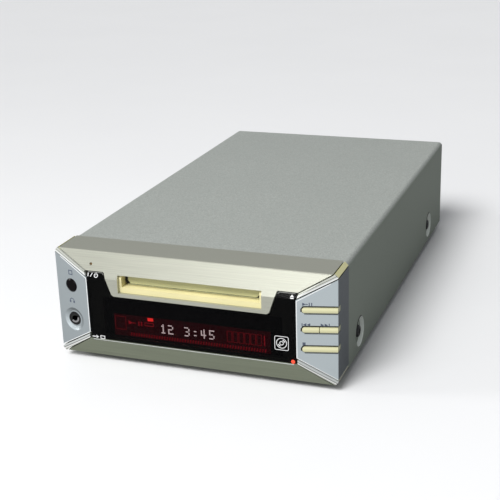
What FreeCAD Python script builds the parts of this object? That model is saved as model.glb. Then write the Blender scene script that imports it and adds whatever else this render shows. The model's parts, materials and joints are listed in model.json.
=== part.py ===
import FreeCAD, Part
import Sketcher
import math
import os

# Compact minidisc deck: a half-width hi-fi component with a faceted front.
# Millimetres, +Z up, front toward -Y, origin on the floor under the middle of the deck.

# ---------------------------------------------------------------- driving sizes
SIZES = [
    # overall casing
    ("foot_height", 3.5, "the casing's lift above the floor"),
    ("cover_width", 149.2, "outside of the wrapped steel cover"),
    ("cover_height", 56.2, "cover, bottom edge to top face"),
    ("cover_length", 245.0, "cover, front edge to rear lip"),
    ("cover_sheet", 1.0, "steel of the cover"),
    ("cover_bend", 2.4, "outside radius of the cover's long bends"),
    ("cover_lip", 10.0, "drop of the cover's rear lip"),
    ("base_sheet", 1.0, "steel of the chassis base, rear panel and brackets"),
    ("slip", 0.2, "gap between sheets that slide over each other"),
    ("dish_diameter", 16.0, "pressed dish around each side screw"),
    ("dish_floor", 13.4, "flat floor of that dish"),
    ("dish_depth", 2.0, "depth of that dish"),
    ("side_screw_front", 23.6, "front side screw, behind the cover's front edge"),
    ("side_screw_back", 41.5, "rear side screw, ahead of the cover's rear end"),
    ("side_screw_height", 10.4, "side screws above the cover's bottom edge"),
    ("screw_shank", 3.0, "M3 screws"),
    ("screw_head", 5.6, "pan head of the M3 screws"),
    ("side_shank", 4.0, "M4 screws at the sides"),
    ("side_head", 6.6, "flat head of the side screws"),
    # faceted front
    ("front_overhang", 0.4, "front module beyond each side of the cover"),
    ("front_rise", 1.2, "front module above the cover's top"),
    ("front_bevel", 2.4, "bevel along the module's four long edges"),
    ("rim_depth", 19.5, "cover's front edge forward to the rim"),
    ("face_slope", 4.8, "rim forward to the window's plane"),
    ("cover_gap", 0.5, "gap between front module and cover"),
    ("wing_width", 19.5, "each wing, outer edge to the window"),
    ("face_low", 10.9, "lower bend, where the window's plane starts"),
    ("upper_slope", 12.8, "height of the sloped upper plate"),
    ("face_corner", 0.8, "small bevel at the corners of the window's plane"),
    ("skin", 1.6, "wall of front plates and wings"),
    ("seam", 0.42, "visible joint line between front pieces"),
    ("seat_gap", 0.3, "film of tape or air under a seated plate"),
    ("strip_setback", 2.5, "metal strip's ends inside the front's sides"),
    ("wing_fall", 2.5, "front's top down to the wing's outer edge"),
    ("wing_drop", 2.9, "bottom of the wing at its outer edge"),
    ("wing_shoulder", 0.3, "wing's top below the upper bend, at the window"),
    ("wing_lift", 3.4, "wing's bottom above the lower bend, at the window"),
    ("ear_rise", 3.2, "window's two ears above the upper bend"),
    ("ear_reach", 0.7, "ears' outer corner beyond the window's plane"),
    ("tab_margin", 3.5, "tab's lower edge beyond each side of the disc slot"),
    ("tab_slant", 4.3, "slant of the tab's sides"),
    ("tab_drop", 9.1, "upper bend down to the tab's lower edge"),
    ("tab_round", 2.2, "rounding of the tab's lower corners"),
    ("slot_margin", 1.5, "disc slot beyond each side of the throat"),
    ("tab_border", 2.0, "plate under the disc slot"),
    ("slot_opening", 9.4, "height of the disc slot"),
    ("frame_wall", 2.0, "moulded wall of the front frame"),
    ("window_set", 0.5, "window's face behind the plates' face"),
    ("window_wall", 1.1, "thickness of the window"),
    # buttons
    ("key_travel", 0.6, "push of every button"),
    ("key_wall", 1.2, "moulded wall of the button caps"),
    ("bar_gap", 0.7, "gap along both sides of the corner keys"),
    ("bar_rise", 0.35, "corner and wing keys proud of their surroundings"),
    ("bar_stem", 1.5, "push stem behind each corner key"),
    ("key_gap", 0.35, "gap around the wing keys"),
    ("key_height", 2.7, "height of the wing keys"),
    ("key_drop", 4.9, "wing's top at the window down to the play key's centre line"),
    ("key_pitch", 10.1, "row spacing of the wing keys"),
    ("key_inset", 2.9, "window's edge to the wing keys"),
    ("key_short", 8.0, "length of the inner key of the middle row"),
    ("key_wrap", 4.6, "wrap of the wing keys round the wing's edge"),
    ("stem_width", 3.0, "push stem behind each cap"),
    ("board_set", 7.9, "front of the switch boards behind the rim"),
    ("board_sheet", 1.6, "circuit boards"),
    ("switch_height", 3.4, "tact switch, board to plunger tip"),
    # disc slot
    ("throat_width", 73.4, "opening that the cartridge passes"),
    ("throat_step", 2.7, "floor of that opening above the plate's slot"),
    ("throat_opening", 6.3, "height of that opening"),
    ("bezel_rim", 1.9, "wall beside the throat"),
    ("bezel_floor", 3.9, "wall under the throat"),
    ("bezel_set", 4.5, "back of the bezel behind the rim"),
    ("flap_sheet", 1.4, "shutter flap"),
    ("flap_set", 1.9, "flap's pin behind the rim"),
    ("flap_gap", 0.35, "gap around the flap"),
    ("pin_diameter", 1.4, "flap's pins"),
    # phones jack and remote sensor in the left wing
    ("port_inset", 9.2, "column of sensor and jack inside the front's side"),
    ("sensor_drop", 6.2, "wing's top at the window down to the sensor's centre"),
    ("sensor_diameter", 7.0, "remote sensor's lens"),
    ("jack_height", 19.3, "phones jack's centre"),
    ("jack_dish", 12.6, "dished ring round the jack"),
    ("jack_nozzle", 7.0, "jack's black nozzle"),
    ("jack_bore", 3.6, "bore for a 3.5 mm plug"),
    ("jack_depth", 14.5, "depth of that bore"),
    # minidisc mechanism
    ("spindle_back", 38.0, "spindle axis behind the cover's front edge"),
    ("deck_drop", 7.2, "throat's floor down to the mechanism plate"),
    ("deck_sheet", 1.2, "mechanism plate"),
    ("deck_margin", 6.6, "mechanism plate beyond each side of the holder"),
    ("deck_front", 38.0, "plate ahead of the spindle"),
    ("deck_rear", 68.0, "plate behind the spindle"),
    ("holder_sheet", 0.8, "cartridge holder"),
    ("holder_margin", 0.7, "outside of the holder beyond each side of the throat"),
    ("holder_length", 72.0, "depth of the holder"),
    ("holder_height", 7.2, "outside height of the holder"),
    ("holder_drop", 3.0, "lowering of the holder onto the spindle"),
    ("slider_travel", 14.0, "stroke of the cam slider"),
    ("slider_gap", 2.0, "mechanism plate's edge to the slider's walls"),
    ("guide_pin", 2.0, "pins of the holder"),
    ("guide_gap", 0.15, "side gap of those pins in their slots"),
    ("lens_radius", 14.5, "lens from the spindle at the lead-in"),
    ("rod_diameter", 3.0, "pickup's guide rod"),
    ("rod_half", 19.0, "guide rods from the middle"),
    # rear
    ("jack_reach", 9.0, "line jacks behind the rear panel"),
    ("line_barrel", 8.3, "outside of the line jacks"),
    ("line_bore", 3.3, "pin hole of the line jacks"),
    ("line_pitch", 14.0, "spacing of the line jacks"),
    ("line_inset", 33.6, "middle of the four line jacks, inside the cover's right side"),
    ("line_height", 28.0, "middle of the four line jacks, above the casing's bottom"),
    ("inlet_inset", 22.6, "power inlet, inside the cover's left side"),
    ("inlet_height", 24.0, "power inlet above the casing's bottom"),
    # gears of the mechanism
    ("loading_module", 0.8, "module of the loading gears"),
    ("sled_module", 0.5, "module of the sled gears"),
    ("foot_diameter", 14.0, "feet"),
    ("foot_inset", 10.6, "feet inside the cover's sides"),
    ("foot_front", 18.0, "front feet behind the cover's front edge"),
    ("foot_back", 19.0, "rear feet ahead of the cover's rear end"),
]

# Sizes that follow from the driving ones, in the order that they need.
DERIVED = [
    ("side_screw_rear", "cover_length - side_screw_back"),
    ("foot_half", "cover_width / 2 - foot_inset"),
    ("foot_rear", "cover_length - foot_back"),
    ("line_column", "cover_width / 2 - line_inset"),
    ("inlet_column", "cover_width / 2 - inlet_inset"),
    ("front_width", "cover_width + 2 * front_overhang"),
    ("front_height", "cover_height + front_rise"),
    ("face_half", "front_width / 2 - wing_width"),
    ("face_high", "front_height - upper_slope"),
    ("strip_half", "front_width / 2 - strip_setback"),
    ("wing_rise", "front_height - wing_fall"),
    ("wing_inner_high", "face_high - wing_shoulder"),
    ("wing_inner_low", "face_low + wing_lift"),
    ("ear_height", "face_high + ear_rise"),
    ("ear_corner", "face_half + ear_reach"),
    ("slot_width", "throat_width + 2 * slot_margin"),
    ("tab_half", "slot_width / 2 + tab_margin"),
    ("ear_half", "tab_half + tab_slant"),
    ("tab_low", "face_high - tab_drop"),
    ("slot_low", "tab_low + tab_border"),
    ("slot_high", "slot_low + slot_opening"),
    ("key_top_row", "wing_inner_high - key_drop"),
    ("key_start", "face_half + key_inset"),
    ("key_split", "key_start + key_short"),
    ("board_front", "rim_depth - board_set"),
    ("throat_low", "slot_low + throat_step"),
    ("throat_high", "throat_low + throat_opening"),
    ("bezel_back", "rim_depth - bezel_set"),
    ("flap_axis", "rim_depth - flap_set"),
    ("port_column", "front_width / 2 - port_inset"),
    ("sensor_height", "wing_inner_high - sensor_drop"),
    ("deck_height", "throat_low - deck_drop"),
    ("holder_width", "throat_width + 2 * holder_margin"),
    ("deck_half", "holder_width / 2 + deck_margin"),
    ("slider_inner", "deck_half + slider_gap"),
]


class Size:
    """A length with two faces: its number now, and the expression that keeps it bound."""

    def __init__(self, number, text):
        self.number = float(number)
        self.text = text

    def __add__(self, other):
        return joined(self, "+", other)

    def __radd__(self, other):
        return joined(other, "+", self)

    def __sub__(self, other):
        return joined(self, "-", other)

    def __rsub__(self, other):
        return joined(other, "-", self)

    def __mul__(self, other):
        return joined(self, "*", other)

    def __rmul__(self, other):
        return joined(other, "*", self)

    def __truediv__(self, other):
        return joined(self, "/", other)

    def __neg__(self):
        return joined(0, "-", self)

    def root(self):
        return Size(math.sqrt(self.number), "sqrt(%s)" % self.text)


def number_of(size):
    return size.number if isinstance(size, Size) else float(size)


def text_of(size):
    return size.text if isinstance(size, Size) else "%.6f" % size


def joined(left, sign, right):
    a = number_of(left)
    b = number_of(right)
    number = {"+": a + b, "-": a - b, "*": a * b}.get(sign)
    if sign == "/":
        number = a / b
    return Size(number, "(%s %s %s)" % (text_of(left), sign, text_of(right)))


class Sheet:
    """The spreadsheet of driving and derived sizes; sheet.name is the bound size of that alias."""

    def __init__(self, doc):
        self.cells = doc.addObject("Spreadsheet::Sheet", "Dims")
        for row, (name, size, note) in enumerate(SIZES, start=1):
            self.cells.set("A%d" % row, name)
            self.cells.set("B%d" % row, str(size))
            self.cells.set("C%d" % row, note)
            self.cells.setAlias("B%d" % row, name)
            setattr(self, name, Size(size, "Dims." + name))
        for row, (name, rule) in enumerate(DERIVED, start=len(SIZES) + 2):
            self.cells.set("A%d" % row, name)
            self.cells.set("B%d" % row, "=" + rule)
            self.cells.setAlias("B%d" % row, name)
        doc.recompute()
        for name, rule in DERIVED:
            setattr(self, name, Size(self.cells.get(name), "Dims." + name))


DOC = FreeCAD.newDocument("minidisc_deck")
D = Sheet(DOC)

# ------------------------------------------------------------- places in the deck
DECK_LENGTH = D.face_slope + D.rim_depth + D.cover_length + D.jack_reach
EDGE = D.face_slope + D.rim_depth - DECK_LENGTH / 2      # y of the cover's front edge
FLOOR = D.foot_height                                    # z of the casing's bottom
SPINDLE = EDGE + D.spindle_back                          # y of the spindle axis
DECK_TOP = FLOOR + D.deck_height                         # z of the mechanism plate's top
INSIDE_HALF = D.cover_width / 2 - D.cover_sheet - D.slip  # half width inside the cover
INSIDE_TOP = D.cover_height - D.cover_sheet - D.slip     # height inside the cover
PANEL_BACK = D.cover_length - D.cover_sheet              # outer face of the rear panel
FACE = D.rim_depth + D.face_slope                        # window's plane ahead of the edge
HALF = D.front_width / 2
FRAME_INSET = D.skin + D.seat_gap                        # front frame inside the skins
FAR = 120.0                                              # a cut that passes everything

PARTS = []


# ------------------------------------------------------------------ small helpers
def bind(thing, prop, size):
    """Tie a property to the sheet, or give it the plain number."""
    if isinstance(size, Size):
        thing.setExpression(prop, size.text)
    elif "." not in prop:
        setattr(thing, prop, size)
    else:
        thing.setExpression(prop, text_of(size))


def register(thing, label):
    thing.Label = label
    PARTS.append(thing)
    return thing


def place(thing, x, y, z):
    for axis, size in zip("xyz", (x, y, z)):
        bind(thing, "Placement.Base." + axis, size)


def new_body(label, x=0, y=0, z=0):
    body = register(DOC.addObject("PartDesign::Body", "Body_" + label), label)
    place(body, x, y, z)
    return body


def new_sketch(body, plane, offset=0, turn=0):
    """A sketch on one of the body's own origin planes, moved along its normal.

    XY: x, y with the normal up.  XZ: x, z with the normal toward the front (-Y).
    YZ: y, z with the normal to the right.  turn is in degrees about the sketch's own y axis.
    """
    sketch = body.newObject("Sketcher::SketchObject", body.Name + "_sketch")
    role = plane + "_Plane"
    base = [item for item in body.Origin.OriginFeatures if item.Role == role][0]
    sketch.AttachmentSupport = (base, [""])
    sketch.MapMode = "FlatFace"
    sketch.AttachmentOffset = FreeCAD.Placement(
        FreeCAD.Vector(), FreeCAD.Rotation(FreeCAD.Vector(0, 1, 0), turn))
    bind(sketch, "AttachmentOffset.Base.z", offset)
    return sketch


def fix(sketch, kind, element, point, size):
    """Hold a point of the sketch at a distance from the origin."""
    if not isinstance(size, Size) and size == 0:
        axis = -2 if kind == "DistanceX" else -1
        sketch.addConstraint(Sketcher.Constraint("PointOnObject", element, point, axis))
        return
    rule = Sketcher.Constraint(kind, -1, 1, element, point, number_of(size))
    index = sketch.addConstraint(rule)
    if isinstance(size, Size):
        sketch.setExpression("Constraints[%d]" % index, size.text)


def fix_radius(sketch, element, size):
    index = sketch.addConstraint(Sketcher.Constraint("Radius", element, number_of(size)))
    if isinstance(size, Size):
        sketch.setExpression("Constraints[%d]" % index, size.text)


def vector(x, y):
    return FreeCAD.Vector(number_of(x), number_of(y), 0)


def draw_polygon(sketch, points):
    first = sketch.GeometryCount
    count = len(points)
    corners = [vector(x, y) for x, y in points]
    for i in range(count):
        sketch.addGeometry(Part.LineSegment(corners[i], corners[(i + 1) % count]))
    for i in range(count):
        following = first + (i + 1) % count
        sketch.addConstraint(Sketcher.Constraint("Coincident", first + i, 2, following, 1))
        fix(sketch, "DistanceX", first + i, 1, points[i][0])
        fix(sketch, "DistanceY", first + i, 1, points[i][1])
    return sketch


def draw_box(sketch, x0, x1, y0, y1):
    return draw_polygon(sketch, [(x0, y0), (x1, y0), (x1, y1), (x0, y1)])


def draw_circle(sketch, x, y, radius):
    circle = Part.Circle(vector(x, y), FreeCAD.Vector(0, 0, 1), number_of(radius))
    element = sketch.addGeometry(circle)
    fix(sketch, "DistanceX", element, 3, x)
    fix(sketch, "DistanceY", element, 3, y)
    fix_radius(sketch, element, radius)
    return sketch


def draw_prism(sketch, x, y, reach, sides=6):
    """A regular polygon, reach from its middle to the middle of a side."""
    corner = reach / math.cos(math.pi / sides)
    turn = math.pi / sides
    return draw_polygon(sketch, [
        (x + corner * math.cos(turn + 2 * turn * i), y + corner * math.sin(turn + 2 * turn * i))
        for i in range(sides)])


def feature(body, kind, sketch, length, reverse=False, middle=False):
    item = body.newObject("PartDesign::" + kind, body.Name + "_" + kind.lower())
    item.Profile = sketch
    bind(item, "Length", length)
    item.Reversed = reverse
    item.Midplane = middle
    return item


def pad(body, sketch, length, reverse=False, middle=False):
    return feature(body, "Pad", sketch, length, reverse, middle)


def pocket(body, sketch, length, reverse=False, middle=False):
    """Cut, and make sure that the cut removed something."""
    DOC.recompute()
    before = body.Shape.Volume
    item = feature(body, "Pocket", sketch, length, reverse, middle)
    DOC.recompute()
    if not body.Shape.Volume < before - 1e-6:
        raise RuntimeError("a pocket of %s cuts nothing" % body.Label)
    return item


def loft(body, kind, first, second):
    item = body.newObject("PartDesign::" + kind, body.Name + "_loft")
    item.Profile = first
    item.Sections = [second]
    item.Ruled = True
    return item


def revolve(body, sketch, axis, kind="Revolution"):
    """Turn a sketch once round one of its own axes, or cut with it as a Groove."""
    item = body.newObject("PartDesign::" + kind, body.Name + "_" + kind.lower())
    item.Profile = sketch
    item.ReferenceAxis = (sketch, [axis])
    item.Angle = 360.0
    return item


def dress(body, kind, size, wanted):
    """Fillet or chamfer the edges of the body that the test picks."""
    DOC.recompute()
    base = body.Tip
    names = []
    for index, edge in enumerate(base.Shape.Edges, start=1):
        if wanted(edge):
            names.append("Edge%d" % index)
    if not names:
        raise RuntimeError("no edge to dress on %s" % body.Label)
    item = body.newObject("PartDesign::" + kind, body.Name + "_" + kind.lower())
    item.Base = (base, names)
    bind(item, "Radius" if kind == "Fillet" else "Size", size)
    DOC.recompute()
    return item


def spans(edge, axis):
    """How far an edge reaches along x, y or z, when it runs straight along it."""
    box = edge.BoundBox
    lengths = {"x": box.XLength, "y": box.YLength, "z": box.ZLength}
    along = lengths.pop(axis)
    return along if max(lengths.values()) < 1e-4 else 0.0


def near(value, size, slack=0.02):
    return abs(value - number_of(size)) < slack


def repeat(body, feature_item, kind, **settings):
    """A linear or polar pattern of one feature, which becomes the body's tip."""
    item = body.newObject("PartDesign::" + kind, body.Name + "_pattern")
    item.Originals = [feature_item]
    for name, setting in settings.items():
        if isinstance(setting, Size):
            bind(item, name, setting)
        else:
            setattr(item, name, setting)
    body.Tip = item
    return item


def origin_axis(body, letter):
    role = letter + "_Axis"
    return [item for item in body.Origin.OriginFeatures if item.Role == role][0]


# -------------------------------------------------- the front module's outer form
def faceted_block(body, inset, back):
    """The front's solid form, this far inside its outer one and ending at back.

    A bar with four bevelled edges, whose front end slopes on all sides to the window's plane.
    """
    half = HALF - inset
    low = inset
    high = D.front_height - inset
    rim = D.rim_depth - inset
    face = FACE - inset
    side_view = new_sketch(body, "YZ")
    draw_polygon(side_view, [
        (-back, low), (-rim, low), (-face, D.face_low), (-face, D.face_high), (-rim, high), (-back, high),
    ])
    pad(body, side_view, 2 * half, middle=True)
    slopes = new_sketch(body, "XY", high + 1)
    for side in (-1, 1):
        draw_polygon(slopes, [
            (side * half, -rim), (side * D.face_half, -face), (side * D.face_half, -face - 1),
            (side * (half + 1), -face - 1), (side * (half + 1), -rim),
        ])
    pocket(body, slopes, high - low + 2)
    for turn, way, edge, face_edge in (
            (-45, 1, high, D.face_high), (-135, 1, high, D.face_high),
            (45, -1, low, D.face_low), (135, -1, low, D.face_low)):
        across_rim = (half - D.front_bevel + way * edge) / DIAGONAL
        across_face = (D.face_half - D.face_corner + way * face_edge) / DIAGONAL
        bevel = new_sketch(body, "XY", turn=turn)
        draw_polygon(bevel, [
            (across_rim, 1 - back), (across_rim, -rim), (across_face, -face), (across_face, -face - 1),
            (across_rim + 4, -face - 1), (across_rim + 4, 1 - back),
        ])
        pocket(body, bevel, FAR, middle=True)


DIAGONAL = math.sqrt(2)
SHELLS = {}


def faceted_shell(body, inset, wall, back):
    """Start a body from the faceted front, this far inside its outer form, hollowed to a wall.

    back is how far ahead of the cover's edge the shell ends. Pieces of one shell share its form.
    """
    key = tuple(text_of(size) for size in (inset, wall, back))
    if key not in SHELLS:
        outer, inner = [DOC.addObject("PartDesign::Body", name) for name in ("Form", "Hollow")]
        faceted_block(outer, inset, back)
        faceted_block(inner, inset + wall, back - 1)
        cut = outer.newObject("PartDesign::Boolean", "Form_hollow")
        cut.Type = "Cut"
        cut.setObjects([inner])
        DOC.recompute()
        SHELLS[key] = outer
    body.BaseFeature = SHELLS[key]


def keep_region(body, points, back=0):
    """Cut away everything that lies outside this front-view outline."""
    sketch = new_sketch(body, "XZ", back)
    draw_box(sketch, -FAR, FAR, -FAR, FAR)
    draw_polygon(sketch, points)
    pocket(body, sketch, FAR, reverse=True)


def front_body(label):
    return new_body(label, 0, EDGE, FLOOR)


def upper_front_plate():
    """Bent aluminium: top strip, sloped face and the tab round the disc slot."""
    body = front_body("upper_front_plate")
    faceted_shell(body, 0, D.skin, D.cover_gap)
    top = D.front_height + 1
    keep_region(body, [
        (-D.strip_half, top), (-D.strip_half, D.front_height), (-D.ear_corner, D.ear_height),
        (-D.ear_half, D.ear_height), (-D.tab_half, D.tab_low), (D.tab_half, D.tab_low),
        (D.ear_half, D.ear_height), (D.ear_corner, D.ear_height),
        (D.strip_half, D.front_height), (D.strip_half, top),
    ])
    slot = new_sketch(body, "XZ", FACE + 1)
    draw_box(slot, -D.slot_width / 2, D.slot_width / 2, D.slot_low, D.slot_high)
    pocket(body, slot, D.face_slope + D.skin)
    lamp = new_sketch(body, "XZ", FACE + 1)
    draw_circle(lamp, -LAMP_X, LAMP_Z, LAMP_RADIUS + D.slip / 2)
    pocket(body, lamp, D.face_slope + D.skin)
    dress(body, "Fillet", D.tab_round,
          lambda edge: spans(edge, "y") > 0.5 and near(edge.BoundBox.ZMin, D.tab_low))
    dress(body, "Fillet", CORNER_ROUND,
          lambda edge: spans(edge, "y") > 0.5 and near(edge.BoundBox.ZMin, D.ear_height)
          and near(abs(edge.BoundBox.XMin), D.ear_half))
    dress(body, "Fillet", RIM_ROUND,
          lambda edge: spans(edge, "x") > 50 and near(edge.BoundBox.ZMax, D.front_height)
          and near(edge.BoundBox.YMin, -D.rim_depth))
    return body


def lower_front_plate():
    """Bent aluminium below the window, turned back under the module."""
    body = front_body("lower_front_plate")
    faceted_shell(body, 0, D.skin, D.cover_gap)
    keep_region(body, [
        (-D.face_half, D.face_low), (-D.strip_half, 0.0), (-D.strip_half, -1.0),
        (D.strip_half, -1.0), (D.strip_half, 0.0), (D.face_half, D.face_low),
    ])
    return body


def wing_outline(side):
    inner = D.face_half
    outer = HALF + 1
    return [
        (side * inner, D.wing_inner_low), (side * HALF, D.wing_drop), (side * outer, D.wing_drop),
        (side * outer, D.wing_rise), (side * HALF, D.wing_rise), (side * inner, D.wing_inner_high),
    ]


LAMP_X = D.face_half - 2
LAMP_Z = D.face_high + D.upper_slope / 2
LAMP_RADIUS = 0.65
RIM_ROUND = 0.8
CORNER_ROUND = 0.9
KEY_ROWS = [D.key_top_row, D.key_top_row - D.key_pitch, D.key_top_row - 2 * D.key_pitch]
CORNER_STEM_X = D.face_half + 10
CORNER_STEM_HIGH = (D.ear_height + D.front_height + D.wing_inner_high + D.wing_rise) / 4 + 0.4
CORNER_STEM_LOW = (D.face_low + D.wing_inner_low + D.wing_drop) / 4 - 0.4
STEM_WIDE = D.face_half + 11.3
STEM_LEFT = D.face_half + 6.8
STEM_RIGHT = D.key_split + 2.5


def wing(label, side):
    """Moulded wing: sloped face and the cheek that runs back to the cover."""
    body = front_body(label)
    faceted_shell(body, 0, D.skin, D.cover_gap)
    keep_region(body, wing_outline(side))
    if side > 0:
        half = D.key_height / 2 + D.key_gap
        for height in KEY_ROWS:
            slot = new_sketch(body, "XZ", FACE + 1)
            draw_box(slot, D.key_start - D.key_gap, HALF + 1, height - half, height + half)
            pocket(body, slot, 1 + D.face_slope + D.key_wrap)
        round_inner_end(body, D.key_start - D.key_gap, half * 0.8)
    else:
        sensor = D.sensor_diameter / 2 + D.slip
        square_to_wing(body, "Groove", D.port_column, D.sensor_height, [
            (0, 1.0), (sensor, 1.0), (sensor, -3.0), (0, -3.0)])
        dish = D.jack_dish / 2
        square_to_wing(body, "Groove", D.port_column, D.jack_height, [
            (0, 1.0), (dish + 1, 1.0), (dish, 0.0), (dish * 0.86, -DISH_DEPTH / 2),
            (D.jack_nozzle / 2 + 0.9, -DISH_DEPTH), (0, -DISH_DEPTH)])
        port = new_sketch(body, "XZ", FACE + 1)
        draw_circle(port, -D.port_column, D.jack_height, D.jack_nozzle / 2 + D.slip)
        pocket(body, port, D.face_slope + D.skin + 4)
    return body


DISH_DEPTH = 0.9


def square_to_wing(body, kind, x, z, section):
    """Turn a section about the line square to the left wing's slope at x, z.

    Section points are (radius, height over the slope).
    """
    run = HALF - D.face_half
    length = (run * run + D.face_slope * D.face_slope).root()
    along = (-run / length, D.face_slope / length)
    out = (-D.face_slope / length, -run / length)
    foot = (-x, -slope_depth(x))

    def spot(radius, height):
        return (foot[0] + along[0] * radius + out[0] * height,
                foot[1] + along[1] * radius + out[1] * height)

    sketch = new_sketch(body, "XY", z)
    draw_polygon(sketch, [spot(radius, height) for radius, height in section])
    low = spot(0, section[-1][1])
    high = spot(0, section[0][1])
    line = sketch.addGeometry(Part.LineSegment(vector(*low), vector(*high)), True)
    for point, (px, py) in ((1, low), (2, high)):
        fix(sketch, "DistanceX", line, point, px)
        fix(sketch, "DistanceY", line, point, py)
    return revolve(body, sketch, "Axis0", kind)


def display_window():
    """Smoked window with two ears that follow the sloped plate."""
    body = front_body("display_window")
    faceted_shell(body, D.window_set, D.window_wall, D.cover_gap + 8)
    gap = D.seam / 2
    keep_region(body, [
        (-D.face_half + gap, D.face_low + gap), (D.face_half - gap, D.face_low + gap),
        (D.face_half - gap, D.wing_inner_high), (D.ear_corner - gap, D.ear_height - gap),
        (D.ear_half + gap, D.ear_height - gap), (D.tab_half + gap, D.tab_low - gap),
        (-D.tab_half - gap, D.tab_low - gap), (-D.ear_half - gap, D.ear_height - gap),
        (-D.ear_corner + gap, D.ear_height - gap), (-D.face_half + gap, D.wing_inner_high),
    ])
    dress(body, "Fillet", CORNER_ROUND,
          lambda edge: spans(edge, "y") > 0.5 and near(edge.BoundBox.ZMax, D.ear_height - gap)
          and near(abs(edge.BoundBox.XMin), D.ear_half + gap))
    return body


# ----------------------------------------------------------- buttons of the front
def slope_depth(x):
    """How far the wing's sloped face lies ahead of the cover's edge, at this x."""
    return D.rim_depth + D.face_slope * (HALF - x) / (HALF - D.face_half)


def push_stem(body, side, x, z, width):
    """Flat stem from inside the cap's wall to just ahead of its switch."""
    half = width / 2
    tip = D.board_front + D.switch_height + D.seat_gap + D.key_travel
    root = slope_depth(x) - D.key_wall * 0.6
    sketch = new_sketch(body, "XZ", tip)
    draw_box(sketch, side * x - half, side * x + half, z - half / 2, z + half / 2)
    return pad(body, sketch, root - tip)


def corner_key(label, side, top):
    """Bar key along a mitre of the front, which turns back along the bevelled edge."""
    body = front_body(label)
    back = D.cover_gap + D.key_travel + D.slip
    faceted_shell(body, -D.bar_rise, D.key_wall, back)
    s = D.bar_gap
    if top:
        inner_up = (side * (D.ear_corner + 0.6), D.ear_height + 0.36 - s)
        edge_up = (side * (D.strip_half + s), D.front_height - s / 2)
        corner = [(side * (D.strip_half + s), D.front_height), (side * HALF, D.front_height)]
        edge_turn = (side * HALF, D.wing_rise + s)
        inner_down = (side * (D.face_half + 0.5), D.wing_inner_high + 0.3 + s)
    else:
        inner_up = (side * (D.face_half + 0.5), D.face_low - 0.3 + s)
        edge_up = (side * (D.strip_half + s), s / 2)
        corner = [(side * (D.strip_half + s), 0.0), (side * HALF, 0.0)]
        edge_turn = (side * HALF, D.wing_drop - s)
        inner_down = (side * (D.face_half + 0.5), D.wing_inner_low - 0.3 - s)
    keep_region(body, [inner_up, edge_up] + corner + [edge_turn, inner_down])
    ahead = new_sketch(body, "XZ", FACE + 1)
    draw_box(ahead, -HALF, HALF, 0, D.front_height)
    pocket(body, ahead, 1.0)
    push_stem(body, side, CORNER_STEM_X, CORNER_STEM_HIGH if top else CORNER_STEM_LOW, D.bar_stem)
    return body


def wing_key(label, row, start, end, stem_x, rounded=True):
    """Cream key of the right wing; the outer ones turn round the wing's edge."""
    body = front_body(label)
    back = D.rim_depth - D.key_wrap + D.key_gap + D.key_travel
    faceted_shell(body, -D.bar_rise, D.key_wall, back)
    half = D.key_height / 2
    keep_region(body, [
        (start, KEY_ROWS[row] - half), (end, KEY_ROWS[row] - half),
        (end, KEY_ROWS[row] + half), (start, KEY_ROWS[row] + half),
    ])
    if rounded:
        round_inner_end(body, start, D.key_height * 0.4)
    push_stem(body, 1, stem_x, KEY_ROWS[row], D.stem_width)
    return body


def round_inner_end(body, x, size):
    """Round the upright corners at the inner end of a wing key, or of its slot."""
    dress(body, "Fillet", size,
          lambda edge: spans(edge, "y") > 0.5 and near(edge.BoundBox.XMin, x)
          and edge.BoundBox.YMax < -number_of(D.rim_depth))


# ------------------------------------------------------------- plain solid helpers
def add_block(body, x0, x1, y0, y1, z0, z1):
    return pad(body, draw_box(new_sketch(body, "XY", z0), x0, x1, y0, y1), z1 - z0)


def cut_block(body, x0, x1, y0, y1, z0, z1):
    return pocket(body, draw_box(new_sketch(body, "XY", z1), x0, x1, y0, y1), z1 - z0)


def add_post(body, x, y, radius, z0, z1):
    return pad(body, draw_circle(new_sketch(body, "XY", z0), x, y, radius), z1 - z0)


def cut_hole(body, x, y, radius, z0, z1):
    return pocket(body, draw_circle(new_sketch(body, "XY", z1), x, y, radius), z1 - z0)


# ------------------------------------------------- what the front module carries
def front_frame():
    """Moulded carrier inside the plates and wings, open behind whatever shows."""
    body = front_body("front_frame")
    faceted_shell(body, FRAME_INSET, D.frame_wall, D.seat_gap)
    reach = D.face_slope + D.frame_wall + 4
    openings = new_sketch(body, "XZ", FACE)
    draw_box(openings, -DISPLAY_HALF - 2, DISPLAY_HALF + 2, DISPLAY_LOW - 0.5, DISPLAY_HIGH + 0.5)
    wide = D.throat_width / 2 + D.bezel_rim + D.slip
    draw_box(openings, -wide, wide, D.throat_low - D.bezel_floor - D.slip,
             D.throat_high + BEZEL_TOP_RIM + D.slip)
    keys_low = KEY_ROWS[2] - D.key_height
    draw_box(openings, D.face_half + 3, KEY_WINDOW_OUT, keys_low, KEY_ROWS[0] + D.key_height)
    draw_circle(openings, -D.port_column, D.sensor_height, D.sensor_diameter / 2 + 1.6)
    draw_circle(openings, -D.port_column, D.jack_height, D.jack_nozzle / 2 + D.slip)
    draw_circle(openings, -LAMP_X, LAMP_Z, LAMP_RADIUS + D.slip)
    stem = D.stem_width / 2 + 0.5
    for side in (-1, 1):
        for height in (CORNER_STEM_HIGH, CORNER_STEM_LOW):
            draw_box(openings, side * CORNER_STEM_X - stem, side * CORNER_STEM_X + stem,
                     height - stem / 2, height + stem / 2)
    pocket(body, openings, reach)
    for side in (-1, 1):
        for height in (BOSS_LOW, BOSS_HIGH):
            boss = new_sketch(body, "XZ", D.board_front)
            draw_prism(boss, side * (D.face_half + 4), height, 2.0)
            pad(body, boss, slope_depth(D.face_half + 4) - FRAME_INSET - 1 - D.board_front)
    return body


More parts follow.
